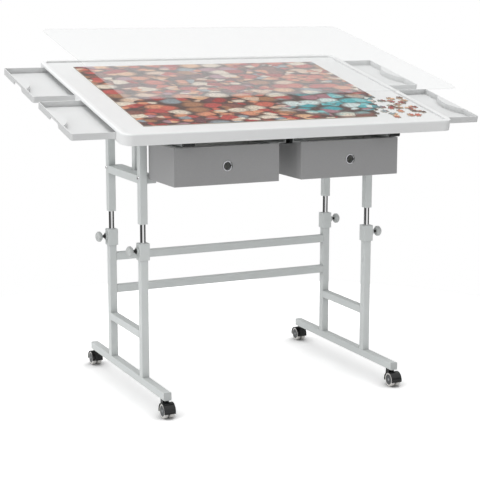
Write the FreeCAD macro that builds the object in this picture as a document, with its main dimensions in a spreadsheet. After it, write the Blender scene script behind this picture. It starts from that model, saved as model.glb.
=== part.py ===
import FreeCAD, Part
import math
import os
import re

import Sketcher

# Jigsaw table on a wheeled stand: a hinged tray-like top with four sorting trays that slide out of
# its sides, two drawers hung in front of the posts, and two telescopic frames clamped by knobs.
# Right is +X, the rear is +Y, up is +Z, and the floor is Z = 0 under the middle of the stand.

driving_sizes = {
    # square steel tube of both frames
    "tube_side": 20,
    "tube_wall": 1.5,
    "tube_round": 1.5,
    # stand, measured between the centres of the posts; its middle lies behind that of the whole outline
    "stand_middle": 11.45,
    "post_span": 645.6,
    "post_reach": 231.2,
    "post_top": 680.5,
    "beam_length": 545,
    "beam_height": 44,
    "cap_depth": 2,
    "cap_plug": 12,
    "cap_fit": 0.1,
    "crossbar_height": 173.5,
    "low_stretcher_height": 247,
    "high_stretcher_height": 335.5,
    # collars on the lower posts and the chromed legs that slide in them
    "collar_side": 27,
    "collar_height": 42.5,
    "collar_top": 409.5,
    "collar_roof": 4,
    "collar_fit": 0.1,
    "boss_diameter": 19,
    "boss_depth": 5,
    "leg_diameter": 14.2,
    "leg_wall": 1.2,
    "leg_show": 48.5,
    "leg_overlap": 250,
    "leg_grip": 60,
    "leg_fit": 0.05,
    # clamp knobs
    "knob_height": 390.6,
    "knob_reach": 42.5,
    "knob_diameter": 27,
    "knob_depth": 14,
    "knob_round": 4,
    "knob_grip": 4,
    "screw_diameter": 6,
    "shank_diameter": 7,
    "screw_fit": 0.05,
    "screw_gap": 0.3,
    "nut_diameter": 15,
    "nut_depth": 5,
    # twin-wheel casters
    "stem_inset": 20.5,
    "stem_diameter": 8,
    "stem_fit": 0.05,
    "stem_rise": 14,
    "stem_seat": 7,
    "socket_side": 16,
    "caster_gap": 0.3,
    "wheel_trail": 16,
    "wheel_diameter": 36.4,
    "wheel_width": 10.8,
    "wheel_chamfer": 1.6,
    "tyre_depth": 4.6,
    "face_dish": 1.2,
    "hub_diameter": 7,
    "hood_width": 30,
    "hood_wall": 1.6,
    "hood_gap": 0.6,
    "hood_web": 4,
    "hood_hem": 13.5,
    "axle_diameter": 5,
    "axle_fit": 0.05,
    # upper frame
    "rail_above_leg": 51.8,
    "support_width": 25,
    "support_overhang": 6,
    "strut_width": 13.5,
    "bolt_rise": 4.2,
    "bolt_diameter": 6,
    "bolt_fit": 0.1,
    "bolt_head_diameter": 10,
    "bolt_head_depth": 3,
    "centre_rail_reach": 270.5,
    # hinge at the front edge of the top
    "hinge_reach": 303.45,
    "hinge_below": 5.4,
    "hinge_inset": 10,
    "hinge_drop": 6,
    "rest_tilt": 12.24,
    "arm_offset": 281,
    "arm_width": 27,
    "arm_depth": 9,
    "arm_setback": 7,
    "arm_chamfer": 5,
    "knuckle_radius": 5.5,
    "knuckle_width": 15,
    "knuckle_gap": 0.4,
    "hinge_pin_diameter": 5,
    "pivot_diameter": 4,
    "pivot_fit": 0.05,
    "loose_fit": 0.3,
    "leaf_depth": 2,
    "leaf_length": 64,
    "leaf_width": 52,
    "leaf_tongue": 36,
    # folding stays, four equal links that make a rhombus on each side
    "stay_length": 89,
    "stay_half_height": 5.5,
    "stay_depth": 4,
    "stay_gap": 0.3,
    "stud_depth": 10,
    # top
    "top_width": 900,
    "top_length": 667,
    "top_depth": 28,
    "top_corner": 26,
    "top_round": 4,
    "rim_width": 14,
    "rim_height": 5,
    "rim_corner": 12,
    "rim_round": 2,
    "skirt_wall": 3,
    "skin_depth": 2,
    # sorting trays and the rails that carry them
    "tray_edge": 47,
    "front_tray_length": 261,
    "tray_spacing": 43,
    "tray_width": 270,
    "tray_reach": 558,
    "tray_lift": 4,
    "tray_height": 16,
    "tray_wall": 2.5,
    "tray_floor": 2,
    "tray_corner": 5,
    "tray_gap": 0.6,
    "rail_flange": 10,
    "rail_flange_depth": 2,
    "rail_wall": 1.5,
    "grip_chord": 130,
    "grip_depth": 24,
    "grip_roof": 2.5,
    "notch_width": 74,
    "notch_slant": 8,
    "notch_height": 9,
    # clear cover
    "cover_inset": 2.3,
    "cover_depth": 2.5,
    "cover_raise": 82.3,
    "cover_gap": 0.3,
    # drawers and the channels that carry them
    "drawer_inner": 30.6,
    "drawer_outer": 307.8,
    "drawer_front": 276.85,
    "drawer_rear": 111.15,
    "drawer_below": 16,
    "drawer_height": 93.2,
    "drawer_wall": 4,
    "lip_width": 14,
    "lip_depth": 3,
    "drawer_step": 7,
    "step_length": 7.5,
    "channel_sheet": 2,
    "channel_play": 0.3,
    "channel_reach": 15,
    "channel_side": 2.8,
    "channel_end": 0.5,
    "flange_width": 14,
    "eyelet_height": 44.4,
    "eyelet_diameter": 25.4,
    "eyelet_hole": 18.6,
    "eyelet_barrel": 20.4,
    "eyelet_bead": 2,
    "eyelet_washer": 1.2,
    "eyelet_fit": 0.1,
}

# sizes that follow others, so that what touches keeps touching
derived_sizes = {
    "side_rail_height": "collar_top + leg_show + leg_grip + rail_above_leg",
    "bolt_height": "side_rail_height + bolt_rise",
    "hinge_height": "post_top - hinge_below",
    "drawer_top": "post_top - drawer_below",
    "rear_tray_length": "top_length - 2 * tray_edge - front_tray_length - tray_spacing",
    "rear_tray_edge": "top_length - tray_edge - rear_tray_length",
}

doc = FreeCAD.newDocument("PuzzleTable")
sheet = doc.addObject("Spreadsheet::Sheet", "Sizes")
contents = {alias: str(plain_number) for alias, plain_number in driving_sizes.items()}
contents.update((alias, f"={text}") for alias, text in derived_sizes.items())
for row, (alias, content) in enumerate(contents.items(), start=1):
    sheet.set(f"A{row}", alias.replace("_", " "))
    sheet.setAlias(f"B{row}", alias)
    sheet.set(f"B{row}", content)
doc.recompute()

finished = []  # sub-parts, each written to a file named by its Label
sides = {"left": -1, "right": 1}
ends = {"front": -1, "rear": 1}
cross_rail_front = "(stand_middle - post_reach / 2 - tube_side / 2)"
plus_x = FreeCAD.Vector(1, 0, 0)
plus_y = FreeCAD.Vector(0, 1, 0)
upright = FreeCAD.Rotation()
lying_y = FreeCAD.Rotation(plus_x, -90)  # a length along local Z runs to the rear
lying_x = FreeCAD.Rotation(plus_y, 90)  # a length along local Z runs to the right


# ---- formulas: words in them are names of the sheet's cells


def formula(text):
    def cell(word):
        return "Sizes." + word.group() if word.group() in contents else word.group()

    return re.sub(r"[a-z][a-z_]+", cell, str(text))


def number(text):
    return float(sheet.evalExpression(formula(text)))


def bind(item, **formulas):
    for field, text in formulas.items():
        item.setExpression(field, formula(text))
    return item


def place(item, x=0, y=0, z=0, turn=upright):
    item.Placement = FreeCAD.Placement(FreeCAD.Vector(number(x), number(y), number(z)), turn)
    for axis, text in (("x", x), ("y", y), ("z", z)):
        item.setExpression(f"Placement.Base.{axis}", formula(text))
    return item


def finish(item, label):
    item.Label = label
    finished.append(item)
    return item


# ---- sketches: every corner is tied to the sheet by its own two distances


def pin_point(sketch, curve, end, x, y):
    for direction, text in (("DistanceX", x), ("DistanceY", y)):
        tie = sketch.addConstraint(Sketcher.Constraint(direction, -1, 1, curve, end, number(text)))
        sketch.setExpression(f"Constraints[{tie}]", formula(text))


def polygon(sketch, corners):
    first = sketch.GeometryCount
    points = [FreeCAD.Vector(number(x), number(y), 0) for x, y in corners]
    for start, end in zip(points, points[1:] + points[:1]):
        sketch.addGeometry(Part.LineSegment(start, end))
    count = len(corners)
    for step, (x, y) in enumerate(corners):
        following = first + (step + 1) % count
        sketch.addConstraint(Sketcher.Constraint("Coincident", first + step, 2, following, 1))
        pin_point(sketch, first + step, 1, x, y)


def rectangle(sketch, left, bottom, right, top):
    polygon(sketch, [(left, bottom), (right, bottom), (right, top), (left, top)])


def rounded_rectangle(sketch, left, bottom, right, top, radius):
    """Four sides, each tied at both ends, joined by quarter circles."""
    runs = [
        ((f"{left} + {radius}", bottom), (f"{right} - {radius}", bottom)),
        ((right, f"{bottom} + {radius}"), (right, f"{top} - {radius}")),
        ((f"{right} - {radius}", top), (f"{left} + {radius}", top)),
        ((left, f"{top} - {radius}"), (left, f"{bottom} + {radius}")),
    ]
    centres = [
        (f"{right} - {radius}", f"{bottom} + {radius}"),
        (f"{right} - {radius}", f"{top} - {radius}"),
        (f"{left} + {radius}", f"{top} - {radius}"),
        (f"{left} + {radius}", f"{bottom} + {radius}"),
    ]
    quarter = math.pi / 2
    for turn, (run, centre) in enumerate(zip(runs, centres)):
        ends_of_run = [FreeCAD.Vector(number(x), number(y), 0) for x, y in run]
        sketch.addGeometry(Part.LineSegment(*ends_of_run))
        middle = FreeCAD.Vector(number(centre[0]), number(centre[1]), 0)
        ring = Part.Circle(middle, FreeCAD.Vector(0, 0, 1), number(radius))
        sketch.addGeometry(Part.ArcOfCircle(ring, (turn - 1) * quarter, turn * quarter))
    for turn, run in enumerate(runs):
        side_line, bend = 2 * turn, 2 * turn + 1
        sketch.addConstraint(Sketcher.Constraint("Coincident", side_line, 2, bend, 1))
        sketch.addConstraint(Sketcher.Constraint("Coincident", bend, 2, (bend + 1) % 8, 1))
        pin_point(sketch, side_line, 1, *run[0])
        pin_point(sketch, side_line, 2, *run[1])
        tie = sketch.addConstraint(Sketcher.Constraint("Radius", bend, number(radius)))
        sketch.setExpression(f"Constraints[{tie}]", formula(radius))


def circle(sketch, x, y, radius):
    centre = FreeCAD.Vector(number(x), number(y), 0)
    ring = sketch.addGeometry(Part.Circle(centre, FreeCAD.Vector(0, 0, 1), number(radius)))
    pin_point(sketch, ring, 3, x, y)
    tie = sketch.addConstraint(Sketcher.Constraint("Radius", ring, number(radius)))
    sketch.setExpression(f"Constraints[{tie}]", formula(radius))


def new_sketch(body, role, name, offset=None):
    plane = next(item for item in body.Origin.OriginFeatures if item.Role == role)
    sketch = body.newObject("Sketcher::SketchObject", name)
    sketch.AttachmentSupport = [(plane, "")]
    sketch.MapMode = "FlatFace"
    if offset is not None:
        sketch.setExpression("AttachmentOffset.Base.z", formula(offset))
    return sketch


def new_body(name):
    return doc.addObject("PartDesign::Body", name)


def pad(body, sketch, length, symmetric=False, reverse=False):
    feature = body.newObject("PartDesign::Pad", sketch.Name + "Pad")
    feature.Profile = sketch
    feature.SideType = "Symmetric" if symmetric else "One side"
    feature.Reversed = reverse
    bind(feature, Length=length)
    sketch.Visibility = False
    return feature


def pocket(body, sketch, length, symmetric=False, reverse=False):
    doc.recompute()
    before = body.Shape.Volume
    feature = body.newObject("PartDesign::Pocket", sketch.Name + "Pocket")
    feature.Profile = sketch
    feature.SideType = "Symmetric" if symmetric else "One side"
    feature.Reversed = reverse
    bind(feature, Length=length)
    doc.recompute()
    if body.Shape.Volume > before - 0.01:
        raise RuntimeError(f"{feature.Name} cuts nothing")
    return feature


def revolve(body, sketch, axis):
    feature = body.newObject("PartDesign::Revolution", sketch.Name + "Turn")
    feature.Profile = sketch
    feature.ReferenceAxis = (sketch, [axis])
    feature.Angle = 360
    return feature


def fillet(body, feature, radius, wanted):
    doc.recompute()
    names = [f"Edge{n}" for n, edge in enumerate(feature.Shape.Edges, start=1) if wanted(edge)]
    rounding = body.newObject("PartDesign::Fillet", feature.Name + "Round")
    rounding.Base = (feature, names)
    bind(rounding, Radius=radius)
    return rounding


def is_upright(edge):
    box = edge.BoundBox
    return box.ZLength > max(box.XLength, box.YLength) * 100


def at_height(text):
    level = number(text)
    return lambda edge: abs(edge.BoundBox.ZMin - level) + abs(edge.BoundBox.ZMax - level) < 0.01


# ---- primitives and booleans


def block(name, left, front, bottom, width, length, height):
    item = doc.addObject("Part::Box", name)
    bind(item, Length=width, Width=length, Height=height)
    return place(item, left, front, bottom)


def rod(name, radius, length, x, y, z, turn=lying_x):
    """A cylinder that starts at x, y, z and runs to the right unless it is turned."""
    item = doc.addObject("Part::Cylinder", name)
    bind(item, Radius=radius, Height=length)
    return place(item, x, y, z, turn)


def joined(name, *items):
    fuse = doc.addObject("Part::MultiFuse", name)
    fuse.Shapes = list(items)
    fuse.Refine = True
    return fuse


def cut(name, base, *tools):
    removed = tools[0] if len(tools) == 1 else joined(name + "Tools", *tools)
    difference = doc.addObject("Part::Cut", name)
    difference.Base = base
    difference.Tool = removed
    difference.Refine = True
    return difference


def grouped(label, items):
    group = doc.addObject("Part::Compound", label)
    group.Links = list(items)
    return finish(group, label)


# ---- square tube, from which both frames are cut


def tube(name, length, width="tube_side", depth="tube_side", end_plate=None, bore_length=None):
    """Tube along local Z from 0, its section centred on the axis; an end plate closes its start."""
    body = new_body(name)
    outline = new_sketch(body, "XY_Plane", name + "Outline")
    rectangle(outline, f"-{width} / 2", f"-{depth} / 2", f"{width} / 2", f"{depth} / 2")
    solid = pad(body, outline, length)
    fillet(body, solid, "tube_round", is_upright)
    bore = new_sketch(body, "XY_Plane", name + "Bore", offset=end_plate)
    half_width = f"({width} / 2 - tube_wall)"
    half_depth = f"({depth} / 2 - tube_wall)"
    rectangle(bore, f"-{half_width}", f"-{half_depth}", half_width, half_depth)
    pocket(body, bore, bore_length or length, reverse=True)
    return body


def post_place(side, end):
    return f"{side} * post_span / 2", f"stand_middle + {end} * post_reach / 2"


def foot_beam(side_name, side):
    body = tube(f"Beam{side_name}", "beam_length - 2 * cap_depth")
    holes = new_sketch(body, "XZ_Plane", f"Beam{side_name}StemHoles")
    for inset in ("stem_inset - cap_depth", "beam_length - stem_inset - cap_depth"):
        circle(holes, 0, inset, "stem_diameter / 2 + stem_fit")
    pocket(body, holes, "tube_side")
    place(
        body,
        f"{side} * post_span / 2",
        "stand_middle + cap_depth - beam_length / 2",
        "beam_height + tube_side / 2",
        lying_y,
    )
    finish(body, f"foot_beam_{side_name}")


def foot_cap(name, side, end):
    body = new_body(name)
    plate = new_sketch(body, "XY_Plane", name + "Plate")
    rectangle(plate, "-tube_side / 2", "-tube_side / 2", "tube_side / 2", "tube_side / 2")
    fillet(body, pad(body, plate, "cap_depth"), "tube_round", is_upright)
    plug = new_sketch(body, "XY_Plane", name + "Plug")
    half = "(tube_side / 2 - tube_wall - cap_fit)"
    rectangle(plug, f"-{half}", f"-{half}", half, half)
    pad(body, plug, "cap_depth + cap_plug")
    turn = FreeCAD.Rotation(plus_x, end * 90)
    y = f"stand_middle + {end} * beam_length / 2"
    return place(body, f"{side} * post_span / 2", y, "beam_height + tube_side / 2", turn)


def lower_post(side_name, side, end_name, end):
    name = f"LowerPost{side_name}{end_name}"
    body = tube(name, "collar_top - collar_roof - beam_height - tube_side")
    hole = new_sketch(body, "YZ_Plane", name + "ScrewHole")
    circle(hole, 0, "knob_height - beam_height - tube_side", "screw_diameter / 2 + screw_fit")
    pocket(body, hole, "tube_side", reverse=side > 0)
    place(body, *post_place(side, end), "beam_height + tube_side")
    finish(body, f"lower_post_{side_name}_{end_name}")


def rail_to_rear(name, side, height):
    body = tube(name, "post_reach - tube_side")
    return place(body, f"{side} * post_span / 2", "stand_middle + (tube_side - post_reach) / 2", height, lying_y)


def rail_to_right(name, end, height):
    body = tube(name, "post_span - tube_side")
    return place(body, "(tube_side - post_span) / 2", post_place(1, end)[1], height, lying_x)


def clamp_collar(name, side, end):
    """Cast block over the end of a lower post, with a roof that guides the leg and a screw boss."""
    body = new_body(name)
    outline = new_sketch(body, "XY_Plane", name + "Outline")
    rectangle(outline, "-collar_side / 2", "-collar_side / 2", "collar_side / 2", "collar_side / 2")
    fillet(body, pad(body, outline, "collar_height"), "tube_round", is_upright)
    boss = new_sketch(body, "YZ_Plane", name + "Boss")
    circle(boss, 0, "knob_height - collar_top + collar_height", "boss_diameter / 2")
    pad(body, boss, "collar_side / 2 + boss_depth", reverse=side < 0)
    socket = new_sketch(body, "XY_Plane", name + "Socket")
    half = "(tube_side / 2 + collar_fit)"
    rectangle(socket, f"-{half}", f"-{half}", half, half)
    pocket(body, socket, "collar_height - collar_roof", reverse=True)
    guide = new_sketch(body, "XY_Plane", name + "Guide")
    circle(guide, 0, 0, "leg_diameter / 2 + leg_fit")
    pocket(body, guide, "collar_height", reverse=True)
    screw_hole = new_sketch(body, "YZ_Plane", name + "ScrewHole")
    circle(screw_hole, 0, "knob_height - collar_top + collar_height", "screw_diameter / 2 + screw_fit")
    pocket(body, screw_hole, "collar_side", reverse=side > 0)
    return place(body, *post_place(side, end), "collar_top - collar_height")


def clamp_knob(side_name, side, end_name, end):
    """Turned grip and its screw; distances run outwards from the axis of the post."""
    name = f"Knob{side_name}{end_name}"
    inner = "(knob_reach - knob_depth)"
    grip = new_body(name + "Grip")
    section = new_sketch(grip, "XZ_Plane", name + "GripSection")
    polygon(
        section,
        [
            (f"{side} * {inner}", "screw_diameter / 2"),
            (f"{side} * {inner}", "knob_diameter / 2 - knob_round"),
            (f"{side} * ({inner} + knob_round)", "knob_diameter / 2"),
            (f"{side} * (knob_reach - knob_round)", "knob_diameter / 2"),
            (f"{side} * knob_reach", "knob_diameter / 2 - knob_round"),
            (f"{side} * knob_reach", 0),
            (f"{side} * ({inner} + knob_grip)", 0),
            (f"{side} * ({inner} + knob_grip)", "screw_diameter / 2"),
        ],
    )
    revolve(grip, section, "H_Axis")
    screw = new_body(name + "Screw")
    profile = new_sketch(screw, "XZ_Plane", name + "ScrewSection")
    tip = "(leg_diameter / 2 + screw_gap)"
    seat = "(collar_side / 2 + boss_depth + screw_gap)"
    polygon(
        profile,
        [
            (f"{side} * {tip}", 0),
            (f"{side} * {tip}", "screw_diameter / 2"),
            (f"{side} * {seat}", "screw_diameter / 2"),
            (f"{side} * {seat}", "nut_diameter / 2"),
            (f"{side} * ({seat} + nut_depth)", "shank_diameter / 2"),
            (f"{side} * {inner}", "shank_diameter / 2"),
            (f"{side} * {inner}", "screw_diameter / 2"),
            (f"{side} * ({inner} + knob_grip)", "screw_diameter / 2"),
            (f"{side} * ({inner} + knob_grip)", 0),
        ],
    )
    revolve(screw, profile, "H_Axis")
    for piece in (grip, screw):
        place(piece, *post_place(side, end), "knob_height")
    grouped(f"clamp_knob_{side_name}_{end_name}", [grip, screw])


# ---- casters, modelled about the stem's axis with the wheels trailing outwards


def stem_place(side, end):
    return f"{side} * post_span / 2", f"(stand_middle + {end} * (beam_length / 2 - stem_inset))"


def caster_stem(name, side, end):
    x, y = stem_place(side, end)
    length = "stem_seat + caster_gap + stem_rise"
    start = "beam_height - caster_gap - stem_seat"
    return rod(name, "stem_diameter / 2", length, x, y, start, upright)


def caster_hood(side_name, side, end_name, end):
    """Moulded hood: a shell over both wheels, a web between them and a square stem socket."""
    name = f"Hood{side_name}{end_name}"
    x, y = stem_place(side, end)
    axle_y = f"({y} + {end} * wheel_trail)"
    axle_z = "wheel_diameter / 2"
    well_radius = "(wheel_diameter / 2 + hood_gap)"
    shell = rod(
        name + "Shell", f"{well_radius} + hood_wall", "hood_width", f"{x} - hood_width / 2", axle_y, axle_z
    )
    socket_top = "(beam_height - caster_gap)"
    socket = block(
        name + "Socket",
        f"{x} - socket_side / 2",
        f"{y} - socket_side / 2",
        axle_z,
        "socket_side",
        "socket_side",
        f"{socket_top} - {axle_z}",
    )
    well_depth = "(hood_width - hood_web) / 2"
    wells = [
        rod(name + "WellLeft", well_radius, well_depth, f"{x} - hood_width / 2", axle_y, axle_z),
        rod(name + "WellRight", well_radius, well_depth, f"{x} + hood_web / 2", axle_y, axle_z),
    ]
    below = block(
        name + "Below",
        f"{x} - hood_width",
        f"{axle_y} - wheel_diameter",
        "-hood_hem",
        "2 * hood_width",
        "2 * wheel_diameter",
        "2 * hood_hem",
    )
    axle_hole = rod(
        name + "AxleHole", "axle_diameter / 2 + axle_fit", "hood_width", f"{x} - hood_width / 2", axle_y, axle_z
    )
    stem_hole = rod(
        name + "StemHole", "stem_diameter / 2 + stem_fit", "stem_seat", x, y, f"{socket_top} - stem_seat", upright
    )
    hood = cut(name, joined(name + "Solid", shell, socket), *wells, below, axle_hole, stem_hole)
    finish(hood, f"caster_hood_{side_name}_{end_name}")


def caster_wheels(side_name, side, end_name, end):
    """Two wheels on one axle, turned as a whole: soft tyre, dished face and a small hub cap."""
    name = f"Wheels{side_name}{end_name}"
    x, y = stem_place(side, end)
    body = new_body(name)
    section = new_sketch(body, "XZ_Plane", name + "Section")
    inner = "(hood_web / 2 + hood_gap)"
    outer = f"({inner} + wheel_width)"
    radius = "wheel_diameter / 2"
    half = [
        (outer, 0),
        (outer, "hub_diameter / 2"),
        (f"{outer} - face_dish", "hub_diameter / 2 + face_dish"),
        (f"{outer} - face_dish", f"{radius} - tyre_depth - face_dish"),
        (outer, f"{radius} - tyre_depth"),
        (outer, f"{radius} - wheel_chamfer"),
        (f"{outer} - wheel_chamfer", radius),
        (f"{inner} + wheel_chamfer", radius),
        (inner, f"{radius} - wheel_chamfer"),
        (inner, "axle_diameter / 2"),
    ]
    polygon(section, half + [(f"-({across})", out) for across, out in reversed(half)])
    revolve(body, section, "H_Axis")
    place(body, x, f"{y} + {end} * wheel_trail", radius)
    finish(body, f"caster_wheels_{side_name}_{end_name}")


# ---- upper frame


def upper_post(side_name, side, end_name, end):
    name = f"UpperPost{side_name}{end_name}"
    foot = "(collar_top + leg_show)"
    body = tube(name, f"post_top - {foot}", end_plate="tube_wall")
    guide = new_sketch(body, "XY_Plane", name + "LegHole")
    circle(guide, 0, 0, "leg_diameter / 2 + leg_fit")
    pocket(body, guide, "tube_side", reverse=True)
    bolt_hole = new_sketch(body, "YZ_Plane", name + "BoltHole")
    circle(bolt_hole, 0, f"bolt_height - {foot}", "bolt_diameter / 2 + bolt_fit")
    pocket(body, bolt_hole, "2 * tube_side", symmetric=True)
    place(body, *post_place(side, end), foot)
    finish(body, f"upper_post_{side_name}_{end_name}")


def chrome_leg(name, side, end):
    x, y = post_place(side, end)
    bottom = "collar_top - leg_overlap"
    length = "leg_overlap + leg_show + leg_grip"
    outside = rod(name + "Outside", "leg_diameter / 2", length, x, y, bottom, upright)
    inside = rod(name + "Inside", "leg_diameter / 2 - leg_wall", length, x, y, bottom, upright)
    return cut(name, outside, inside)


def centre_support(side_name, side):
    """Bar bolted across the posts' inner faces, with a strut up to the middle cross rail."""
    name = f"Support{side_name}"
    bar_length = "post_reach + 2 * support_overhang"
    closed = f"{bar_length} - 2 * tube_wall"
    bar = tube(name + "Bar", bar_length, width="support_width", end_plate="tube_wall", bore_length=closed)
    bar_x = f"{side} * (post_span / 2 - tube_side / 2 - support_width / 2)"
    hole = new_sketch(bar, "YZ_Plane", name + "BoltHoles")
    for along in ("support_overhang", "post_reach + support_overhang"):
        circle(hole, "side_rail_height - bolt_height", along, "bolt_diameter / 2 + bolt_fit")
    pocket(bar, hole, "support_width", reverse=side > 0)
    place(bar, bar_x, "stand_middle - post_reach / 2 - support_overhang", "side_rail_height", lying_y)
    strut_foot = "(side_rail_height + tube_side / 2)"
    strut = tube(name + "Strut", f"post_top - tube_side - {strut_foot}", width="strut_width")
    strut_x = f"{side} * (post_span / 2 - tube_side / 2 - support_width + tube_round + strut_width / 2)"
    place(strut, strut_x, "stand_middle", strut_foot)
    finish(joined(name, bar, strut), f"centre_support_{side_name}")


def frame_bolt(name, side, end):
    body = new_body(name)
    section = new_sketch(body, "XZ_Plane", name + "Section")
    face = "tube_side / 2"
    tip = "(-tube_side / 2 - 2 * tube_wall)"
    polygon(
        section,
        [
            (f"{side} * {tip}", 0),
            (f"{side} * {tip}", "bolt_diameter / 2"),
            (f"{side} * {face}", "bolt_diameter / 2"),
            (f"{side} * {face}", "bolt_head_diameter / 2"),
            (f"{side} * ({face} + bolt_head_depth / 2)", "bolt_head_diameter / 2"),
            (f"{side} * ({face} + bolt_head_depth)", "bolt_head_diameter / 2 - bolt_head_depth / 2"),
            (f"{side} * ({face} + bolt_head_depth)", 0),
        ],
    )
    revolve(body, section, "H_Axis")
    return place(body, *post_place(side, end), "bolt_height")


def from_left(side, near, width):
    """Left edge of a piece that spans near to near + width, mirrored for the left side."""
    return f"({near})" if side > 0 else f"(-({near}) - ({width}))"


def hinge_arm(side_name, side):
    """Steel bar from the front cross rail to the hinge, with the middle knuckle at its end."""
    name = f"Arm{side_name}"
    near = "arm_offset - arm_width / 2"
    start = "(arm_setback - hinge_reach)"
    bottom = "hinge_height - knuckle_radius"
    bar = block(
        name + "Bar",
        from_left(side, near, "arm_width"),
        start,
        bottom,
        "arm_width",
        f"{cross_rail_front} - {start}",
        "arm_depth",
    )
    corner = doc.addObject("Part::Chamfer", name + "Corner")
    corner.Base = bar
    doc.recompute()
    inner_x = side * number(near)
    front_y = number(start)
    edges = [
        (n, number("arm_chamfer"), number("arm_chamfer"))
        for n, edge in enumerate(bar.Shape.Edges, start=1)
        if is_upright(edge) and abs(edge.CenterOfMass.x - inner_x) < 0.01 and abs(edge.CenterOfMass.y - front_y) < 0.01
    ]
    corner.Edges = edges
    knuckle_near = "arm_offset - knuckle_width / 2"
    knuckle_left = from_left(side, knuckle_near, "knuckle_width")
    knuckle = rod(name + "Knuckle", "knuckle_radius", "knuckle_width", knuckle_left, "-hinge_reach", "hinge_height")
    neck = block(
        name + "Neck",
        knuckle_left,
        "-hinge_reach",
        bottom,
        "knuckle_width",
        "arm_setback",
        "knuckle_radius + knuckle_radius / 2",
    )
    pin_left = from_left(side, near, "arm_width")
    pin_radius = "hinge_pin_diameter / 2 + pivot_fit"
    pin_hole = rod(name + "PinHole", pin_radius, "arm_width", pin_left, "-hinge_reach", "hinge_height")
    stud_hole_depth = "stud_depth + stay_gap"
    stud_left = from_left(side, near, stud_hole_depth)
    stud_y = "stay_length - hinge_reach"
    stud_hole = rod(
        name + "StudHole", "pivot_diameter / 2 + pivot_fit", stud_hole_depth, stud_left, stud_y, "hinge_height"
    )
    solid = joined(name + "Solid", corner, knuckle, neck)
    finish(cut(name, solid, pin_hole, stud_hole), f"hinge_arm_{side_name}")


def hinge_pin(name, side):
    left = from_left(side, "arm_offset - arm_width / 2", "arm_width")
    return rod(name, "hinge_pin_diameter / 2", "arm_width", left, "-hinge_reach", "hinge_height")


def stay_link(name, inner, stud_start, stud_length, stud_at_far_end, hole_at_far_end):
    """Flat link between two pivots, from the origin along local Y, with one riveted stud."""
    bar = block(name + "Bar", inner, 0, "-stay_half_height", "stay_depth", "stay_length", "2 * stay_half_height")
    ends_of_link = [
        rod(name + "Near", "stay_half_height", "stay_depth", inner, 0, 0),
        rod(name + "Far", "stay_half_height", "stay_depth", inner, "stay_length", 0),
    ]
    solids = [bar, *ends_of_link]
    for stud, (start, length, far) in enumerate(zip(stud_start, stud_length, stud_at_far_end)):
        along = "stay_length" if far else 0
        solids.append(rod(f"{name}Stud{stud}", "pivot_diameter / 2", length, start, along, 0))
    link = joined(name, *solids)
    if hole_at_far_end:
        hole = rod(name + "Hole", "pivot_diameter / 2 + loose_fit", "stay_depth", inner, "stay_length", 0)
        link = cut(name + "Drilled", link, hole)
    return link


def folding_stay(side_name, side):
    """The carrying link turns with the top, the lifting link stays level, and they meet at a stud."""
    outer_near = "arm_offset - arm_width / 2 - stay_gap - stay_depth"
    inner_near = f"{outer_near} - stay_gap - stay_depth"
    lug_near = f"{inner_near} - stay_gap - stay_depth"
    arm_stud = from_left(side, f"{outer_near} + stay_depth", "stay_gap + stud_depth")
    free_stud = from_left(side, inner_near, "stay_gap + stay_depth")
    lower = stay_link(
        f"LowerStay{side_name}",
        from_left(side, outer_near, "stay_depth"),
        [arm_stud, free_stud],
        ["stay_gap + stud_depth", "stay_gap + stay_depth"],
        [False, True],
        hole_at_far_end=False,
    )
    slope = FreeCAD.Rotation(plus_x, number("rest_tilt"))
    place(lower, 0, "stay_length - hinge_reach", "hinge_height", slope)
    finish(lower, f"lower_stay_{side_name}")
    upper = stay_link(
        f"UpperStay{side_name}",
        from_left(side, inner_near, "stay_depth"),
        [from_left(side, lug_near, "stay_gap + stay_depth")],
        ["stay_gap + stay_depth"],
        [False],
        hole_at_far_end=True,
    )
    along = "stay_length * cos(rest_tilt * 1 deg) - hinge_reach"
    rise = "hinge_height + stay_length * sin(rest_tilt * 1 deg)"
    place(upper, 0, along, rise)
    finish(upper, f"upper_stay_{side_name}")


def channel(name, corners):
    """Folded sheet along Y, from just behind the drawers' fronts to the front cross rail."""
    body = new_body(name)
    section = new_sketch(body, "XZ_Plane", name + "Section")
    polygon(section, corners)
    start = "(drawer_wall + channel_end - drawer_front)"
    pad(body, section, f"{cross_rail_front} - {start}", reverse=True)
    return place(body, 0, start, 0)


lip_top = "drawer_top"
over_lip = "(drawer_top + channel_play)"
under_lip = "(drawer_top - lip_depth - channel_play)"


def arm_channel(name, side):
    """Channel under a hinge arm; its two outward flanges hold the lip of the drawer's outer wall."""
    web_out = "(drawer_outer - drawer_wall - channel_side - channel_reach)"
    web_in = f"({web_out} - channel_sheet)"
    tip = f"({web_out} + channel_reach)"
    mount = "(hinge_height - knuckle_radius)"
    section = [
        (f"{web_in} - flange_width", mount),
        (web_out, mount),
        (web_out, f"{over_lip} + channel_sheet"),
        (tip, f"{over_lip} + channel_sheet"),
        (tip, over_lip),
        (web_out, over_lip),
        (web_out, under_lip),
        (tip, under_lip),
        (tip, f"{under_lip} - channel_sheet"),
        (web_in, f"{under_lip} - channel_sheet"),
        (web_in, f"{mount} - channel_sheet"),
        (f"{web_in} - flange_width", f"{mount} - channel_sheet"),
    ]
    return channel(name, [(f"{side} * ({x})", z) for x, z in section])


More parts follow.
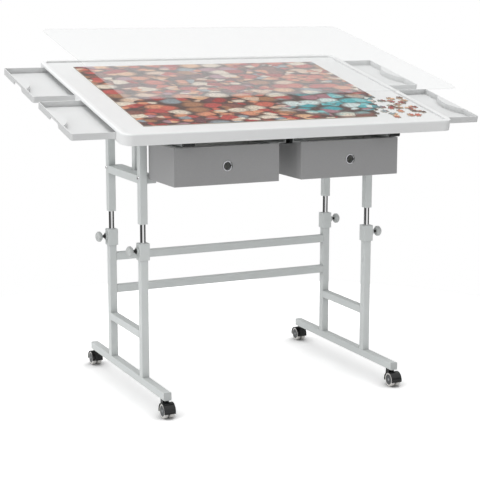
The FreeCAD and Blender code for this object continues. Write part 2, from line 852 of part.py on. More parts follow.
def centre_channel(name, side):
    """Channel beside the centre rail for the lip of a drawer's inner wall."""
    web_in = "(drawer_inner + drawer_wall + channel_side + channel_reach)"
    web_out = f"({web_in} + channel_sheet)"
    tip = f"({web_in} - channel_reach)"
    rail_face = "tube_side / 2"
    section = [
        (rail_face, over_lip),
        (web_in, over_lip),
        (web_in, under_lip),
        (tip, under_lip),
        (tip, f"{under_lip} - channel_sheet"),
        (web_out, f"{under_lip} - channel_sheet"),
        (web_out, f"{over_lip} + channel_sheet"),
        (f"{rail_face} + channel_sheet", f"{over_lip} + channel_sheet"),
        (f"{rail_face} + channel_sheet", f"{over_lip} + flange_width"),
        (rail_face, f"{over_lip} + flange_width"),
    ]
    return channel(name, [(f"{side} * ({x})", z) for x, z in section])


# ---- top: its pieces are drawn about the hinge axis and turned to the resting slope


def on_top(item):
    return place(item, 0, "-hinge_reach", "hinge_height", FreeCAD.Rotation(plus_x, number("rest_tilt")))


def tabletop():
    """Moulded tray with a rim, a skirt and two slots in each side, open underneath."""
    body = new_body("Tabletop")
    front = "(-hinge_inset)"
    rear = "(top_length - hinge_inset)"
    outline = new_sketch(body, "XY_Plane", "TopOutline", offset="hinge_drop")
    rectangle(outline, "-top_width / 2", front, "top_width / 2", rear)
    corners = fillet(body, pad(body, outline, "top_depth"), "top_corner", is_upright)
    fillet(body, corners, "top_round", at_height("hinge_drop + top_depth"))
    recess = new_sketch(body, "XY_Plane", "TopRecess", offset="hinge_drop + top_depth")
    rounded_rectangle(
        recess,
        "(rim_width - top_width / 2)",
        f"({front} + rim_width)",
        "(top_width / 2 - rim_width)",
        f"({rear} - rim_width)",
        "rim_corner",
    )
    sunken = pocket(body, recess, "rim_height")
    inner_rim = at_height("hinge_drop + top_depth")
    widest = number("top_width / 2 - rim_width / 2")

    def is_inner_rim(edge):
        return inner_rim(edge) and max(abs(edge.BoundBox.XMax), abs(edge.BoundBox.XMin)) < widest

    fillet(body, sunken, "rim_round", is_inner_rim)
    hollow = new_sketch(body, "XY_Plane", "TopHollow", offset="hinge_drop")
    rounded_rectangle(
        hollow,
        "(skirt_wall - top_width / 2)",
        f"({front} + skirt_wall)",
        "(top_width / 2 - skirt_wall)",
        f"({rear} - skirt_wall)",
        "(top_corner - skirt_wall)",
    )
    pocket(body, hollow, "top_depth - rim_height - skin_depth", reverse=True)
    slots = new_sketch(body, "YZ_Plane", "TopSlots")
    slot_top = "(hinge_drop + tray_lift + tray_height + tray_gap)"
    below = "(hinge_drop + tray_lift - tray_gap)"
    for near, length in (("tray_edge", "front_tray_length"), ("rear_tray_edge", "rear_tray_length")):
        start = f"{front} + {near} - tray_gap"
        rectangle(slots, start, below, f"{start} + {length} + 2 * tray_gap", slot_top)
    pocket(body, slots, "2 * top_width", symmetric=True)
    finish(on_top(body), "tabletop")


def tray_rail(name, near, far, near_flange, far_flange, short_of_side):
    """Hollow rail across the underside; flanges at its foot carry the trays' edges."""
    body = new_body(name)
    section = new_sketch(body, "YZ_Plane", name + "Section")
    front = "(-hinge_inset)"
    floor = "hinge_drop"
    top = "(hinge_drop + top_depth - rim_height - skin_depth)"
    shelf = "(hinge_drop + tray_lift - tray_gap / 2)"
    outline = []
    if near_flange:
        outline += [
            (f"{front} + {near}", shelf),
            (f"{front} + {near} - rail_flange", shelf),
            (f"{front} + {near} - rail_flange", f"{shelf} - rail_flange_depth"),
            (f"{front} + {near}", f"{shelf} - rail_flange_depth"),
        ]
    outline += [(f"{front} + {near}", floor), (f"{front} + {far}", floor)]
    if far_flange:
        outline += [
            (f"{front} + {far}", f"{shelf} - rail_flange_depth"),
            (f"{front} + {far} + rail_flange", f"{shelf} - rail_flange_depth"),
            (f"{front} + {far} + rail_flange", shelf),
            (f"{front} + {far}", shelf),
        ]
    outline += [(f"{front} + {far}", top), (f"{front} + {near}", top)]
    polygon(section, outline)
    rectangle(
        section,
        f"{front} + {near} + rail_wall",
        f"{floor} + rail_wall",
        f"{front} + {far} - rail_wall",
        f"{top} - rail_wall",
    )
    pad(body, section, f"top_width - 2 * {short_of_side}", symmetric=True)
    return on_top(body)


def tray_rails():
    front_end = "(tray_edge - tray_gap)"
    rear_start = "(top_length - tray_edge + tray_gap)"
    middle_start = "(tray_edge + front_tray_length + tray_gap)"
    middle_end = "(rear_tray_edge - tray_gap)"
    grouped(
        "tray_rails",
        [
            tray_rail("RailFront", "skirt_wall", front_end, False, True, "top_corner"),
            tray_rail("RailMiddle", middle_start, middle_end, True, True, "skirt_wall"),
            tray_rail("RailRear", rear_start, "(top_length - skirt_wall)", True, False, "top_corner"),
        ],
    )


def sorting_tray(side_name, side, end_name):
    """Shallow tray whose outer wall bows inwards round a finger grip that is open below."""
    name = f"Tray{side_name}{end_name}"
    length = f"{end_name}_tray_length"
    near = "tray_edge" if end_name == "front" else "rear_tray_edge"
    body = new_body(name)
    outer = "tray_reach"
    inner = "(tray_reach - tray_width)"
    middle = f"({near} - hinge_inset + {length} / 2)"
    floor = "(hinge_drop + tray_lift)"
    outline = new_sketch(body, "XY_Plane", name + "Outline", offset=floor)
    half = f"({length} / 2)"
    rectangle(outline, f"{side} * {inner}", f"{middle} - {half}", f"{side} * {outer}", f"{middle} + {half}")
    outer_end = side * number(outer)
    fillet(
        body,
        pad(body, outline, "tray_height"),
        "tray_corner",
        lambda edge: is_upright(edge) and abs(edge.CenterOfMass.x - outer_end) < number("tray_wall"),
    )
    bowl = new_sketch(body, "XY_Plane", name + "Bowl", offset=f"{floor} + tray_height")
    wall_line = f"({outer} - tray_wall)"
    bowl_half = f"({half} - tray_wall)"
    grip_outline(
        bowl,
        side,
        [
            (wall_line, f"{middle} + grip_chord / 2"),
            (wall_line, f"{middle} + {bowl_half}"),
            (f"{inner} + tray_wall", f"{middle} + {bowl_half}"),
            (f"{inner} + tray_wall", f"{middle} - {bowl_half}"),
            (wall_line, f"{middle} - {bowl_half}"),
            (wall_line, f"{middle} - grip_chord / 2"),
        ],
        middle,
        "grip_depth",
        "grip_chord / 2",
    )
    pocket(body, bowl, "tray_height - tray_floor")
    grip = new_sketch(body, "XY_Plane", name + "Grip", offset=floor)
    grip_half = "(grip_chord / 2 - tray_wall)"
    grip_outline(
        grip,
        side,
        [(wall_line, f"{middle} + {grip_half}"), (wall_line, f"{middle} - {grip_half}")],
        middle,
        "(grip_depth - tray_wall)",
        grip_half,
    )
    pocket(body, grip, "tray_height - grip_roof", reverse=True)
    notch = new_sketch(body, "YZ_Plane", name + "Notch", offset=f"{side} * {outer}")
    polygon(
        notch,
        [
            (f"{middle} - notch_width / 2", f"{floor} - tray_floor"),
            (f"{middle} + notch_width / 2", f"{floor} - tray_floor"),
            (f"{middle} + notch_width / 2 - notch_slant", f"{floor} + notch_height"),
            (f"{middle} - notch_width / 2 + notch_slant", f"{floor} + notch_height"),
        ],
    )
    pocket(body, notch, "4 * tray_wall", symmetric=True)
    finish(on_top(body), f"tray_{side_name}_{end_name}")


def grip_outline(sketch, side, corners, middle, depth, half_chord):
    """Closed outline whose last side is an arc that bows inwards by the depth of the grip."""
    points = [FreeCAD.Vector(side * number(x), number(y), 0) for x, y in corners]
    for here, there in zip(points, points[1:]):
        sketch.addGeometry(Part.LineSegment(here, there))
    last = len(points) - 2
    for step in range(last):
        sketch.addConstraint(Sketcher.Constraint("Coincident", step, 2, step + 1, 1))
    for step, (x, y) in enumerate(corners[:-1]):
        pin_point(sketch, step, 1, f"{side} * {x}", y)
    pin_point(sketch, last, 2, f"{side} * {corners[-1][0]}", corners[-1][1])
    radius = f"({half_chord} * {half_chord} + {depth} * {depth}) / (2 * {depth})"
    half_angle = math.asin(number(half_chord) / number(radius))
    across = side * (number(corners[0][0]) - number(depth) + number(radius))
    ring = Part.Circle(FreeCAD.Vector(across, number(middle), 0), FreeCAD.Vector(0, 0, 1), number(radius))
    facing = math.pi if side > 0 else 0  # the arc lies on the ring's inner side
    bow = sketch.addGeometry(Part.ArcOfCircle(ring, facing - half_angle, facing + half_angle))
    first_end, last_end = (1, 2) if side > 0 else (2, 1)
    sketch.addConstraint(Sketcher.Constraint("Coincident", bow, first_end, 0, 1))
    sketch.addConstraint(Sketcher.Constraint("Coincident", bow, last_end, last, 2))
    tie = sketch.addConstraint(Sketcher.Constraint("Radius", bow, number(radius)))
    sketch.setExpression(f"Constraints[{tie}]", formula(radius))


def clear_cover():
    body = new_body("Cover")
    outline = new_sketch(body, "XY_Plane", "CoverOutline", offset="hinge_drop + top_depth + cover_gap + cover_raise")
    front = "(cover_inset / 2 - hinge_inset)"
    rectangle(
        outline,
        "cover_inset - top_width / 2",
        front,
        "top_width / 2 - cover_inset",
        f"{front} + top_length - cover_inset",
    )
    fillet(body, pad(body, outline, "cover_depth"), "top_corner - cover_inset", is_upright)
    finish(on_top(body), "clear_cover")


def hinge_leaf(name, side):
    """Plate under the top's front rail with two knuckles, and a tongue with the stay's lug."""
    outer_edge = "(arm_offset + arm_width / 2)"
    inner_edge = f"({outer_edge} - leaf_width)"
    under = "(hinge_drop - leaf_depth)"
    start = "(knuckle_radius + knuckle_gap)"
    plate = block(
        name + "Plate",
        from_left(side, inner_edge, "leaf_width"),
        start,
        under,
        "leaf_width",
        "leaf_length",
        "leaf_depth",
    )
    lug_near = "(arm_offset - arm_width / 2 - 3 * (stay_gap + stay_depth))"
    tongue_width = f"({lug_near} + stay_depth - {inner_edge})"
    tongue = block(
        name + "Tongue",
        from_left(side, inner_edge, tongue_width),
        start,
        under,
        tongue_width,
        "leaf_length + leaf_tongue",
        "leaf_depth",
    )
    lug_left = from_left(side, lug_near, "stay_depth")
    lug_foot = block(
        name + "LugFoot",
        lug_left,
        "stay_length - stay_half_height",
        0,
        "stay_depth",
        "2 * stay_half_height",
        "hinge_drop",
    )
    lug = rod(name + "Lug", "stay_half_height", "stay_depth", lug_left, "stay_length", 0)
    solids = [plate, tongue, lug_foot, lug]
    holes = [
        rod(name + "StudHole", "pivot_diameter / 2 + pivot_fit", "stay_depth", lug_left, "stay_length", 0)
    ]
    width = "((arm_width - knuckle_width) / 2 - knuckle_gap)"
    for place_name, near in (
        ("Inner", "arm_offset - arm_width / 2"),
        ("Outer", "arm_offset + knuckle_width / 2 + knuckle_gap"),
    ):
        left = from_left(side, near, width)
        solids.append(rod(f"{name}{place_name}Knuckle", "knuckle_radius", width, left, 0, 0))
        solids.append(block(f"{name}{place_name}Cheek", left, 0, 0, width, "knuckle_radius", "hinge_drop"))
        bridge = f"{start} + leaf_depth"
        solids.append(block(f"{name}{place_name}Bridge", left, 0, under, width, bridge, "leaf_depth"))
        holes.append(
            rod(f"{name}{place_name}Hole", "hinge_pin_diameter / 2 + pivot_fit", width, left, 0, 0)
        )
    return on_top(cut(name, joined(name + "Solid", *solids), *holes))


# ---- drawers


def drawer_box(side_name, side):
    """Open box with an inward lip along both side walls and a lowered rear end."""
    name = f"Drawer{side_name}"
    body = new_body(name)
    inner = "drawer_inner"
    outer = "drawer_outer"
    bottom = "(drawer_top - drawer_height)"
    section = new_sketch(body, "XZ_Plane", name + "Section")
    corners = [
        (inner, bottom),
        (outer, bottom),
        (outer, lip_top),
        (f"{outer} - drawer_wall - lip_width", lip_top),
        (f"{outer} - drawer_wall - lip_width", f"{lip_top} - lip_depth"),
        (f"{outer} - drawer_wall", f"{lip_top} - lip_depth"),
        (f"{outer} - drawer_wall", f"{bottom} + drawer_wall"),
        (f"{inner} + drawer_wall", f"{bottom} + drawer_wall"),
        (f"{inner} + drawer_wall", f"{lip_top} - lip_depth"),
        (f"{inner} + drawer_wall + lip_width", f"{lip_top} - lip_depth"),
        (f"{inner} + drawer_wall + lip_width", lip_top),
        (inner, lip_top),
    ]
    polygon(section, [(f"{side} * ({x})", z) for x, z in corners])
    pad(body, section, "drawer_front - drawer_rear", reverse=True)
    for wall_name, top, offset in (
        ("Front", lip_top, 0),
        ("Rear", f"{lip_top} - drawer_step", "drawer_front - drawer_rear - drawer_wall"),
    ):
        wall = new_sketch(body, "XZ_Plane", f"{name}{wall_name}Wall", offset=f"-({offset})")
        rectangle(wall, f"{side} * {inner}", bottom, f"{side} * {outer}", top)
        pad(body, wall, "drawer_wall", reverse=True)
    step = new_sketch(body, "XZ_Plane", name + "Step", offset="drawer_rear - drawer_front")
    rectangle(
        step,
        f"{side} * {inner}",
        f"{lip_top} - drawer_step",
        f"{side} * {outer}",
        f"{lip_top} + drawer_step",
    )
    pocket(body, step, "2 * step_length", symmetric=True)
    hole = new_sketch(body, "XZ_Plane", name + "EyeletHole")
    middle = f"({inner} + {outer}) / 2"
    circle(hole, f"{side} * {middle}", f"{bottom} + eyelet_height", "eyelet_barrel / 2 + eyelet_fit")
    pocket(body, hole, "2 * drawer_wall")
    place(body, 0, "-drawer_front", 0)
    finish(body, f"drawer_{side_name}")


def eyelet(side_name, side):
    """Turned metal ring through the drawer's front, with a rounded bead outside."""
    name = f"Eyelet{side_name}"
    body = new_body(name)
    section = new_sketch(body, "XY_Plane", name + "Section")
    hole = "eyelet_hole / 2"
    barrel = "eyelet_barrel / 2"
    rim = "eyelet_diameter / 2"
    polygon(
        section,
        [
            (hole, "-eyelet_bead / 2"),
            (f"{hole} + eyelet_bead / 2", "-eyelet_bead"),
            (f"{rim} - eyelet_bead", "-eyelet_bead"),
            (rim, "-eyelet_bead / 2"),
            (rim, 0),
            (barrel, 0),
            (barrel, "drawer_wall"),
            (f"{barrel} + eyelet_bead / 2", "drawer_wall"),
            (f"{barrel} + eyelet_bead / 2", "drawer_wall + eyelet_washer"),
            (hole, "drawer_wall + eyelet_washer"),
        ],
    )
    revolve(body, section, "V_Axis")
    middle = f"{side} * (drawer_inner + drawer_outer) / 2"
    place(body, middle, "-drawer_front", "drawer_top - drawer_height + eyelet_height")
    finish(body, f"eyelet_{side_name}")


# ---- assembly


def corners_of_stand():
    for side_name, side in sides.items():
        for end_name, end in ends.items():
            yield side_name, side, end_name, end


for side_name, side in sides.items():
    foot_beam(side_name, side)
    finish(rail_to_rear(f"Crossbar{side_name}", side, "crossbar_height"), f"lower_crossbar_{side_name}")
for corner in corners_of_stand():
    lower_post(*corner)
    clamp_knob(*corner)
    caster_hood(*corner)
    caster_wheels(*corner)
    upper_post(*corner)
finish(rail_to_right("HighStretcher", 1, "high_stretcher_height"), "high_stretcher")
finish(rail_to_right("LowStretcher", 1, "low_stretcher_height"), "low_stretcher")
for label, maker in (
    ("foot_caps", foot_cap),
    ("clamp_collars", clamp_collar),
    ("caster_stems", caster_stem),
    ("chrome_legs", chrome_leg),
    ("frame_bolts", frame_bolt),
):
    grouped(
        label,
        [maker(f"{label}{s_name}{e_name}", s, e) for s_name, s, e_name, e in corners_of_stand()],
    )

top_rail_height = "post_top - tube_side / 2"
for side_name, side in sides.items():
    finish(rail_to_rear(f"SideRail{side_name}", side, "side_rail_height"), f"side_rail_{side_name}")
    centre_support(side_name, side)
    hinge_arm(side_name, side)
    folding_stay(side_name, side)
grouped(
    "top_side_rails",
    [rail_to_rear(f"TopSideRail{name}", side, top_rail_height) for name, side in sides.items()],
)
grouped(
    "cross_rails",
    [
        rail_to_right(f"CrossRail{name}", end, top_rail_height)
        for name, end in (("Front", -1), ("Middle", 0), ("Rear", 1))
    ],
)
centre_rail = tube("CentreRail", f"centre_rail_reach + {cross_rail_front}")
place(centre_rail, 0, "-centre_rail_reach", top_rail_height, lying_y)
finish(centre_rail, "centre_rail")
grouped("hinge_pins", [hinge_pin(f"HingePin{name}", side) for name, side in sides.items()])
arm_channels = [arm_channel(f"ArmChannel{name}", side) for name, side in sides.items()]
centre_channels = [centre_channel(f"CentreChannel{name}", side) for name, side in sides.items()]
grouped("drawer_channels", arm_channels + centre_channels)

tabletop()
tray_rails()
grouped("hinge_leaves", [hinge_leaf(f"Leaf{name}", side) for name, side in sides.items()])
for side_name, side in sides.items():
    for end_name in ends:
        sorting_tray(side_name, side, end_name)
    drawer_box(side_name, side)
    eyelet(side_name, side)
clear_cover()

doc.recompute()
faulty = [item.Name for item in doc.Objects if "Invalid" in item.State or "Error" in item.State]
faulty += [item.Label for item in finished if item.Shape.isNull() or not item.Shape.isValid()]
if faulty:
    raise RuntimeError("not built: " + ", ".join(faulty))
os.makedirs("parts", exist_ok=True)
for item in finished:
    item.Shape.exportStep(f"parts/{item.Label}.step")
print(len(finished), "sub-parts written")
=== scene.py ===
import math
import random

import bpy
from mathutils import Matrix, Vector


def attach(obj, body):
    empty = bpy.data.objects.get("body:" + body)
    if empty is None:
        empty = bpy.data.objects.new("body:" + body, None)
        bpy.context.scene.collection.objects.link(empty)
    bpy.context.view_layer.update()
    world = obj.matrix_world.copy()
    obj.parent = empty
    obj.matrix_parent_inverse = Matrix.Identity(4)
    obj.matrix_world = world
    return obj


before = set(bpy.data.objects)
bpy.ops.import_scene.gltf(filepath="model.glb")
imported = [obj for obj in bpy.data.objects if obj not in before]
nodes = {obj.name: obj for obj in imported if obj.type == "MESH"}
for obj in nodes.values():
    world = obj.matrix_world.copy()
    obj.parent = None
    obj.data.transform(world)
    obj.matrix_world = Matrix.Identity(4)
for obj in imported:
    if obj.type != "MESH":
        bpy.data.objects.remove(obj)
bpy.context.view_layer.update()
print("frame loaded:", len(nodes), "parts")

mm = 0.001  # sizes below are in mm, unless a note says metres

# how the tilted top lies at rest: its hinge, its slope, and its front edge and underside from that hinge
topPlace = {"hingeY": -303.45, "hingeZ": 675.1, "slope": 12.24, "frontEdge": -10, "underside": 6}
topSlope = math.radians(topPlace["slope"])


def topMatrix():
    # takes what is laid out flat, from the top's front edge and underside, to its place on the slope
    hinge = Matrix.Translation(Vector((0, topPlace["hingeY"] * mm, topPlace["hingeZ"] * mm)))
    corner = Matrix.Translation(Vector((0, topPlace["frontEdge"] * mm, topPlace["underside"] * mm)))
    return hinge @ Matrix.Rotation(topSlope, 4, "X") @ corner


def toLinear(colour):
    values = [int(colour[start:start + 2], 16) / 255 for start in (0, 2, 4)]
    return [v / 12.92 if v <= 0.04045 else ((v + 0.055) / 1.055) ** 2.4 for v in values] + [1.0]


def addNode(tree, kind, inputs=None, stops=None, **settings):
    # an input is linked to a socket or to a node's first output, or takes a number or a hex colour
    node = tree.nodes.new("ShaderNode" + kind)
    for name, value in settings.items():
        setattr(node, name, value)
    for name, value in (inputs or {}).items():
        if isinstance(value, bpy.types.Node):
            value = next(socket for socket in value.outputs if socket.enabled)
        if isinstance(value, bpy.types.NodeSocket):
            tree.links.new(value, node.inputs[name])
        else:
            node.inputs[name].default_value = toLinear(value) if isinstance(value, str) else value
    if stops:
        elements = node.color_ramp.elements
        elements.remove(elements[1])
        elements[0].position, elements[0].color = stops[0][0], toLinear(stops[0][1])
        for position, colour in stops[1:]:
            elements.new(position).color = toLinear(colour)
    return node


def startMaterial(name):
    material = bpy.data.materials.new(name)
    material.use_nodes = True
    material.node_tree.nodes.clear()
    return material, material.node_tree, addNode(material.node_tree, "TexCoord").outputs["Object"]


def endMaterial(tree, surface):
    shader = addNode(tree, "BsdfPrincipled", surface)
    addNode(tree, "OutputMaterial", {"Surface": shader})


# how the painted corner shade is drawn from ambient occlusion: where it starts, where it ends, and its
# samples
paintedCornerShade = {"closed": 0.5, "open": 0.95, "samples": 8}


def paintCornerShade(tree, colour, corner):
    # painted shade: where surfaces meet and little light reaches, the colour turns greyer
    freely = addNode(
        tree, "AmbientOcclusion", {"Distance": corner["reach"] * mm},
        samples=paintedCornerShade["samples"], only_local=corner["ownOnly"],
    )
    shadeFactor = addNode(
        tree, "MapRange",
        {"Value": freely.outputs["AO"], "From Min": paintedCornerShade["closed"], "From Max": paintedCornerShade["open"],
         "To Min": corner["tone"]},
    )
    return addNode(
        tree, "Mix", {"Factor": 1.0, "A": colour, "B": shadeFactor}, data_type="RGBA", blend_type="MULTIPLY"
    )


powderCoat = {
    "light": "E4E8E7", "dark": "DDE1E0", "roughness": 0.42,
    "patch": 90, "peel": 1.6, "peelDepth": 0.12, "peelBump": 0.35,
    # painted shade where bars and posts meet: how far it reaches, how grey it turns, and that other parts
    # count
    "corner": {"reach": 30, "tone": 0.72, "ownOnly": False},
}


def makePowderCoat():
    # baked powder on steel: even, faintly orange-peeled, softly glossy, with painted shade where the bars
    # meet
    material, tree, place = startMaterial("powderCoatedSteel")
    patch = addNode(tree, "TexNoise", {"Vector": place, "Scale": 1 / (powderCoat["patch"] * mm)})
    peel = addNode(tree, "TexNoise", {"Vector": place, "Scale": 1 / (powderCoat["peel"] * mm)})
    bump = addNode(
        tree, "Bump",
        {"Height": peel, "Strength": powderCoat["peelBump"], "Distance": powderCoat["peelDepth"] * mm},
    )
    even = addNode(
        tree, "Mix", {"Factor": patch, "A": powderCoat["dark"], "B": powderCoat["light"]}, data_type="RGBA"
    )
    endMaterial(tree, {
        "Base Color": paintCornerShade(tree, even, powderCoat["corner"]),
        "Roughness": powderCoat["roughness"],
        "Normal": bump,
    })
    return material


whitePlastic = {
    "mouldedAbs": ("F7F8F8", "F2F3F3"),  # bright white
    "styreneWithPaintedShade": ("E3E4E4", "DDDEDE"),  # a shade greyer: painted shade, as the trays lie in shade beside the top
    "roughness": 0.36, "smoother": 0.05, "rougher": 0.06, "ior": 1.5,
    "patch": 120, "texture": 0.9, "textureDepth": 0.06, "textureBump": 0.3,
    # painted shade in the part's own grooves and inner corners
    "corner": {"reach": 14, "tone": 0.8, "ownOnly": True},
}


def makeWhitePlastic(name):
    # injection-moulded ABS or styrene: satin, finely textured, a little livelier where the mould was worn
    # smooth; painted shade darkens its grooves and inner corners
    light, dark = whitePlastic[name]
    material, tree, place = startMaterial(name)
    patch = addNode(tree, "TexNoise", {"Vector": place, "Scale": 1 / (whitePlastic["patch"] * mm)})
    texture = addNode(tree, "TexNoise", {"Vector": place, "Scale": 1 / (whitePlastic["texture"] * mm)})
    bump = addNode(
        tree, "Bump",
        {"Height": texture, "Strength": whitePlastic["textureBump"],
         "Distance": whitePlastic["textureDepth"] * mm},
    )
    rough = addNode(
        tree, "MapRange",
        {"Value": patch, "To Min": whitePlastic["roughness"] - whitePlastic["smoother"],
         "To Max": whitePlastic["roughness"] + whitePlastic["rougher"]},
    )
    even = addNode(tree, "Mix", {"Factor": patch, "A": dark, "B": light}, data_type="RGBA")
    endMaterial(tree, {
        "Base Color": paintCornerShade(tree, even, whitePlastic["corner"]),
        "Roughness": rough,
        "Normal": bump,
        "IOR": whitePlastic["ior"],
    })
    return material


# light tone, dark tone and roughness of each coat, then what they share
plainCoat = {
    "blackenedSteel": ("1E1F20", "121314", 0.38),  # oiled after blacking: near black, with a dull sheen
    "darkEnamelledSteel": ("505252", "464848", 0.42),  # thin stoved coat: charcoal, half matt
    "greyEnamelledSteel": ("9A9D9C", "8E9190", 0.42),  # the same coat in grey
    "capNylon": ("CDD1D0", "C4C8C7", 0.5),  # moulded: pale and waxy
    "hoodNylon": ("1B1C1D", "0E0F10", 0.16),  # from a polished mould: black, with sharp highlights
    "mottle": 6, "mottleDetail": 3, "texture": 0.7, "textureDepth": 0.05, "textureBump": 0.3,
}


def makePlainCoat(name):
    # moulded nylon, or steel under enamel or blacking: one even tone, faintly mottled, with a fine grain
    light, dark, roughness = plainCoat[name]
    material, tree, place = startMaterial(name)
    mottle = addNode(
        tree, "TexNoise",
        {"Vector": place, "Scale": 1 / (plainCoat["mottle"] * mm), "Detail": plainCoat["mottleDetail"]},
    )
    texture = addNode(tree, "TexNoise", {"Vector": place, "Scale": 1 / (plainCoat["texture"] * mm)})
    bump = addNode(
        tree, "Bump",
        {"Height": texture, "Strength": plainCoat["textureBump"], "Distance": plainCoat["textureDepth"] * mm},
    )
    tone = addNode(tree, "Mix", {"Factor": mottle, "A": dark, "B": light}, data_type="RGBA")
    endMaterial(tree, {"Base Color": tone, "Roughness": roughness, "Normal": bump})
    return material


# light tone, dark tone, roughness, gap between its lines and their stretch along X, Y and Z, then what
# they share
plating = {
    "chromedSteel": ("F2F2F2", "DADADB", 0.05, 0.6, (1, 1, 0.02)),  # mirror-bright, drawn along the tube
    "nickelPlatedBrass": ("C2C3C5", "A9AAAD", 0.2, 0.5, (1, 1, 1)),  # pressed ring: soft grey shine
    "zincPlatedSteel": ("C9C8C4", "A8A7A3", 0.28, 0.5, (1, 1, 1)),  # turned pin: yellower and duller
    "detail": 3, "lineDepth": 0.03, "lineBump": 0.12, "smoothest": 0.7, "roughest": 1.3,
}


def makeMetal(name):
    # plated metal: fine lines left by drawing or turning break up the reflection
    light, dark, roughness, lineGap, stretch = plating[name]
    material, tree, place = startMaterial(name)
    along = addNode(tree, "Mapping", {"Vector": place, "Scale": stretch})
    lines = addNode(
        tree, "TexNoise", {"Vector": along, "Scale": 1 / (lineGap * mm), "Detail": plating["detail"]}
    )
    bump = addNode(
        tree, "Bump",
        {"Height": lines, "Strength": plating["lineBump"], "Distance": plating["lineDepth"] * mm},
    )
    rough = addNode(
        tree, "MapRange",
        {"Value": lines, "To Min": roughness * plating["smoothest"],
         "To Max": roughness * plating["roughest"]},
    )
    tone = addNode(tree, "Mix", {"Factor": lines, "A": dark, "B": light}, data_type="RGBA")
    endMaterial(tree, {"Base Color": tone, "Metallic": 1.0, "Roughness": rough, "Normal": bump})
    return material


drawerCloth = {
    "light": "AFAFAF", "dark": "A0A0A1", "roughness": 0.85, "sheen": 0.15, "sheenRoughness": 0.5,
    "thread": 1.2, "threadDepth": 0.3, "threadBump": 0.5, "threadCrest": 2.5,
    "slub": 4, "slubDetail": 4, "slubReach": 0.6,
    # the paper lining inside, its near-white tone painted light for the drawer's shaded inside
    "liningAndPaintedLight": "F0F0EE", "wall": 3.9,
    "inner": 30.6, "outer": 307.8, "front": -276.85, "rear": -111.15, "bottom": 571.3,
}


def insideDrawer(tree, place):
    # 1 within the walls, where the paper lining shows; it is painted near-white to lift the shade inside the
    # drawer
    axes = addNode(tree, "SeparateXYZ", {"Vector": place})
    across = addNode(tree, "Math", {0: axes.outputs["X"]}, operation="ABSOLUTE")
    wall = drawerCloth["wall"]
    slack = 0.2  # so that the walls' own faces count as lined
    limits = []
    for value, low, high in (
        (across, drawerCloth["inner"] + wall, drawerCloth["outer"] - wall),
        (axes.outputs["Y"], drawerCloth["front"] + wall, drawerCloth["rear"] - wall),
    ):
        limits.append(addNode(
            tree, "Math", {0: value, 1: (low + high) / 2 * mm, 2: ((high - low) / 2 + slack) * mm},
            operation="COMPARE",
        ))
    above = addNode(
        tree, "Math", {0: axes.outputs["Z"], 1: (drawerCloth["bottom"] + wall - slack) * mm},
        operation="GREATER_THAN",
    )
    both = addNode(tree, "Math", {0: limits[0], 1: limits[1]}, operation="MULTIPLY")
    return addNode(tree, "Math", {0: both, 1: above}, operation="MULTIPLY")


def makeDrawerCloth():
    # plain-woven polyester glued over board: matt, with a fine square weave; threads of 0.6 mm are drawn
    # twice as wide so that they show
    material, tree, place = startMaterial("wovenPolyester")
    axes = addNode(tree, "SeparateXYZ", {"Vector": place})
    waves = []
    for axis in "XYZ":
        turns = addNode(
            tree, "Math", {0: axes.outputs[axis], 1: math.pi / (drawerCloth["thread"] * mm)},
            operation="MULTIPLY",
        )
        waves.append(addNode(tree, "Math", {0: turns}, operation="SINE"))
    upAndAcross = addNode(tree, "Math", {0: waves[0], 1: waves[2]}, operation="ADD")
    weave = addNode(tree, "Math", {0: upAndAcross, 1: waves[1]}, operation="ADD")
    crest = drawerCloth["threadCrest"]  # the three waves reach 3, so the tallest crests are a little flat
    height = addNode(tree, "MapRange", {"Value": weave, "From Min": -crest, "From Max": crest})
    slub = addNode(
        tree, "TexNoise",
        {"Vector": place, "Scale": 1 / (drawerCloth["slub"] * mm), "Detail": drawerCloth["slubDetail"]},
    )
    tone = addNode(tree, "Math", {0: height, 1: slub}, operation="MULTIPLY")
    shade = addNode(tree, "MapRange", {"Value": tone, "From Max": drawerCloth["slubReach"]})
    bump = addNode(
        tree, "Bump",
        {"Height": height, "Strength": drawerCloth["threadBump"],
         "Distance": drawerCloth["threadDepth"] * mm},
    )
    cloth = addNode(
        tree, "Mix", {"Factor": shade, "A": drawerCloth["dark"], "B": drawerCloth["light"]}, data_type="RGBA"
    )
    # inside, the paper lining, its tone painted light to stand in for light the shaded drawer lacks
    lined = addNode(
        tree, "Mix", {"Factor": insideDrawer(tree, place), "A": cloth, "B": drawerCloth["liningAndPaintedLight"]},
        data_type="RGBA",
    )
    endMaterial(tree, {
        "Base Color": lined,
        "Roughness": drawerCloth["roughness"],
        "Normal": bump,
        "Sheen Weight": drawerCloth["sheen"],
        "Sheen Roughness": drawerCloth["sheenRoughness"],
    })
    return material


wheelZones = {
    "standMiddle": 11.45, "axleY": 268, "axleZ": 18.2, "tyreInside": 13.6, "hubInside": 3.6,
    "tyre": "ECEAE6", "face": "5A5C5E", "hub": "A9ABAD", "roughness": 0.35,
    "dust": 4, "dustDetail": 4, "dustShare": 0.12, "dustDepth": 0.1, "dustBump": 0.2,
}


def axleDistance(tree, place):
    # distance from the nearer pair's axle, the same rule for all four casters
    axes = addNode(tree, "SeparateXYZ", {"Vector": place})
    fromMiddle = addNode(
        tree, "Math", {0: axes.outputs["Y"], 1: wheelZones["standMiddle"] * mm}, operation="SUBTRACT"
    )
    reach = addNode(tree, "Math", {0: fromMiddle}, operation="ABSOLUTE")
    along = addNode(tree, "Math", {0: reach, 1: wheelZones["axleY"] * mm}, operation="SUBTRACT")
    up = addNode(tree, "Math", {0: axes.outputs["Z"], 1: wheelZones["axleZ"] * mm}, operation="SUBTRACT")
    flat = addNode(tree, "CombineXYZ", {"X": along, "Y": up})
    return addNode(tree, "VectorMath", {0: flat}, operation="LENGTH")


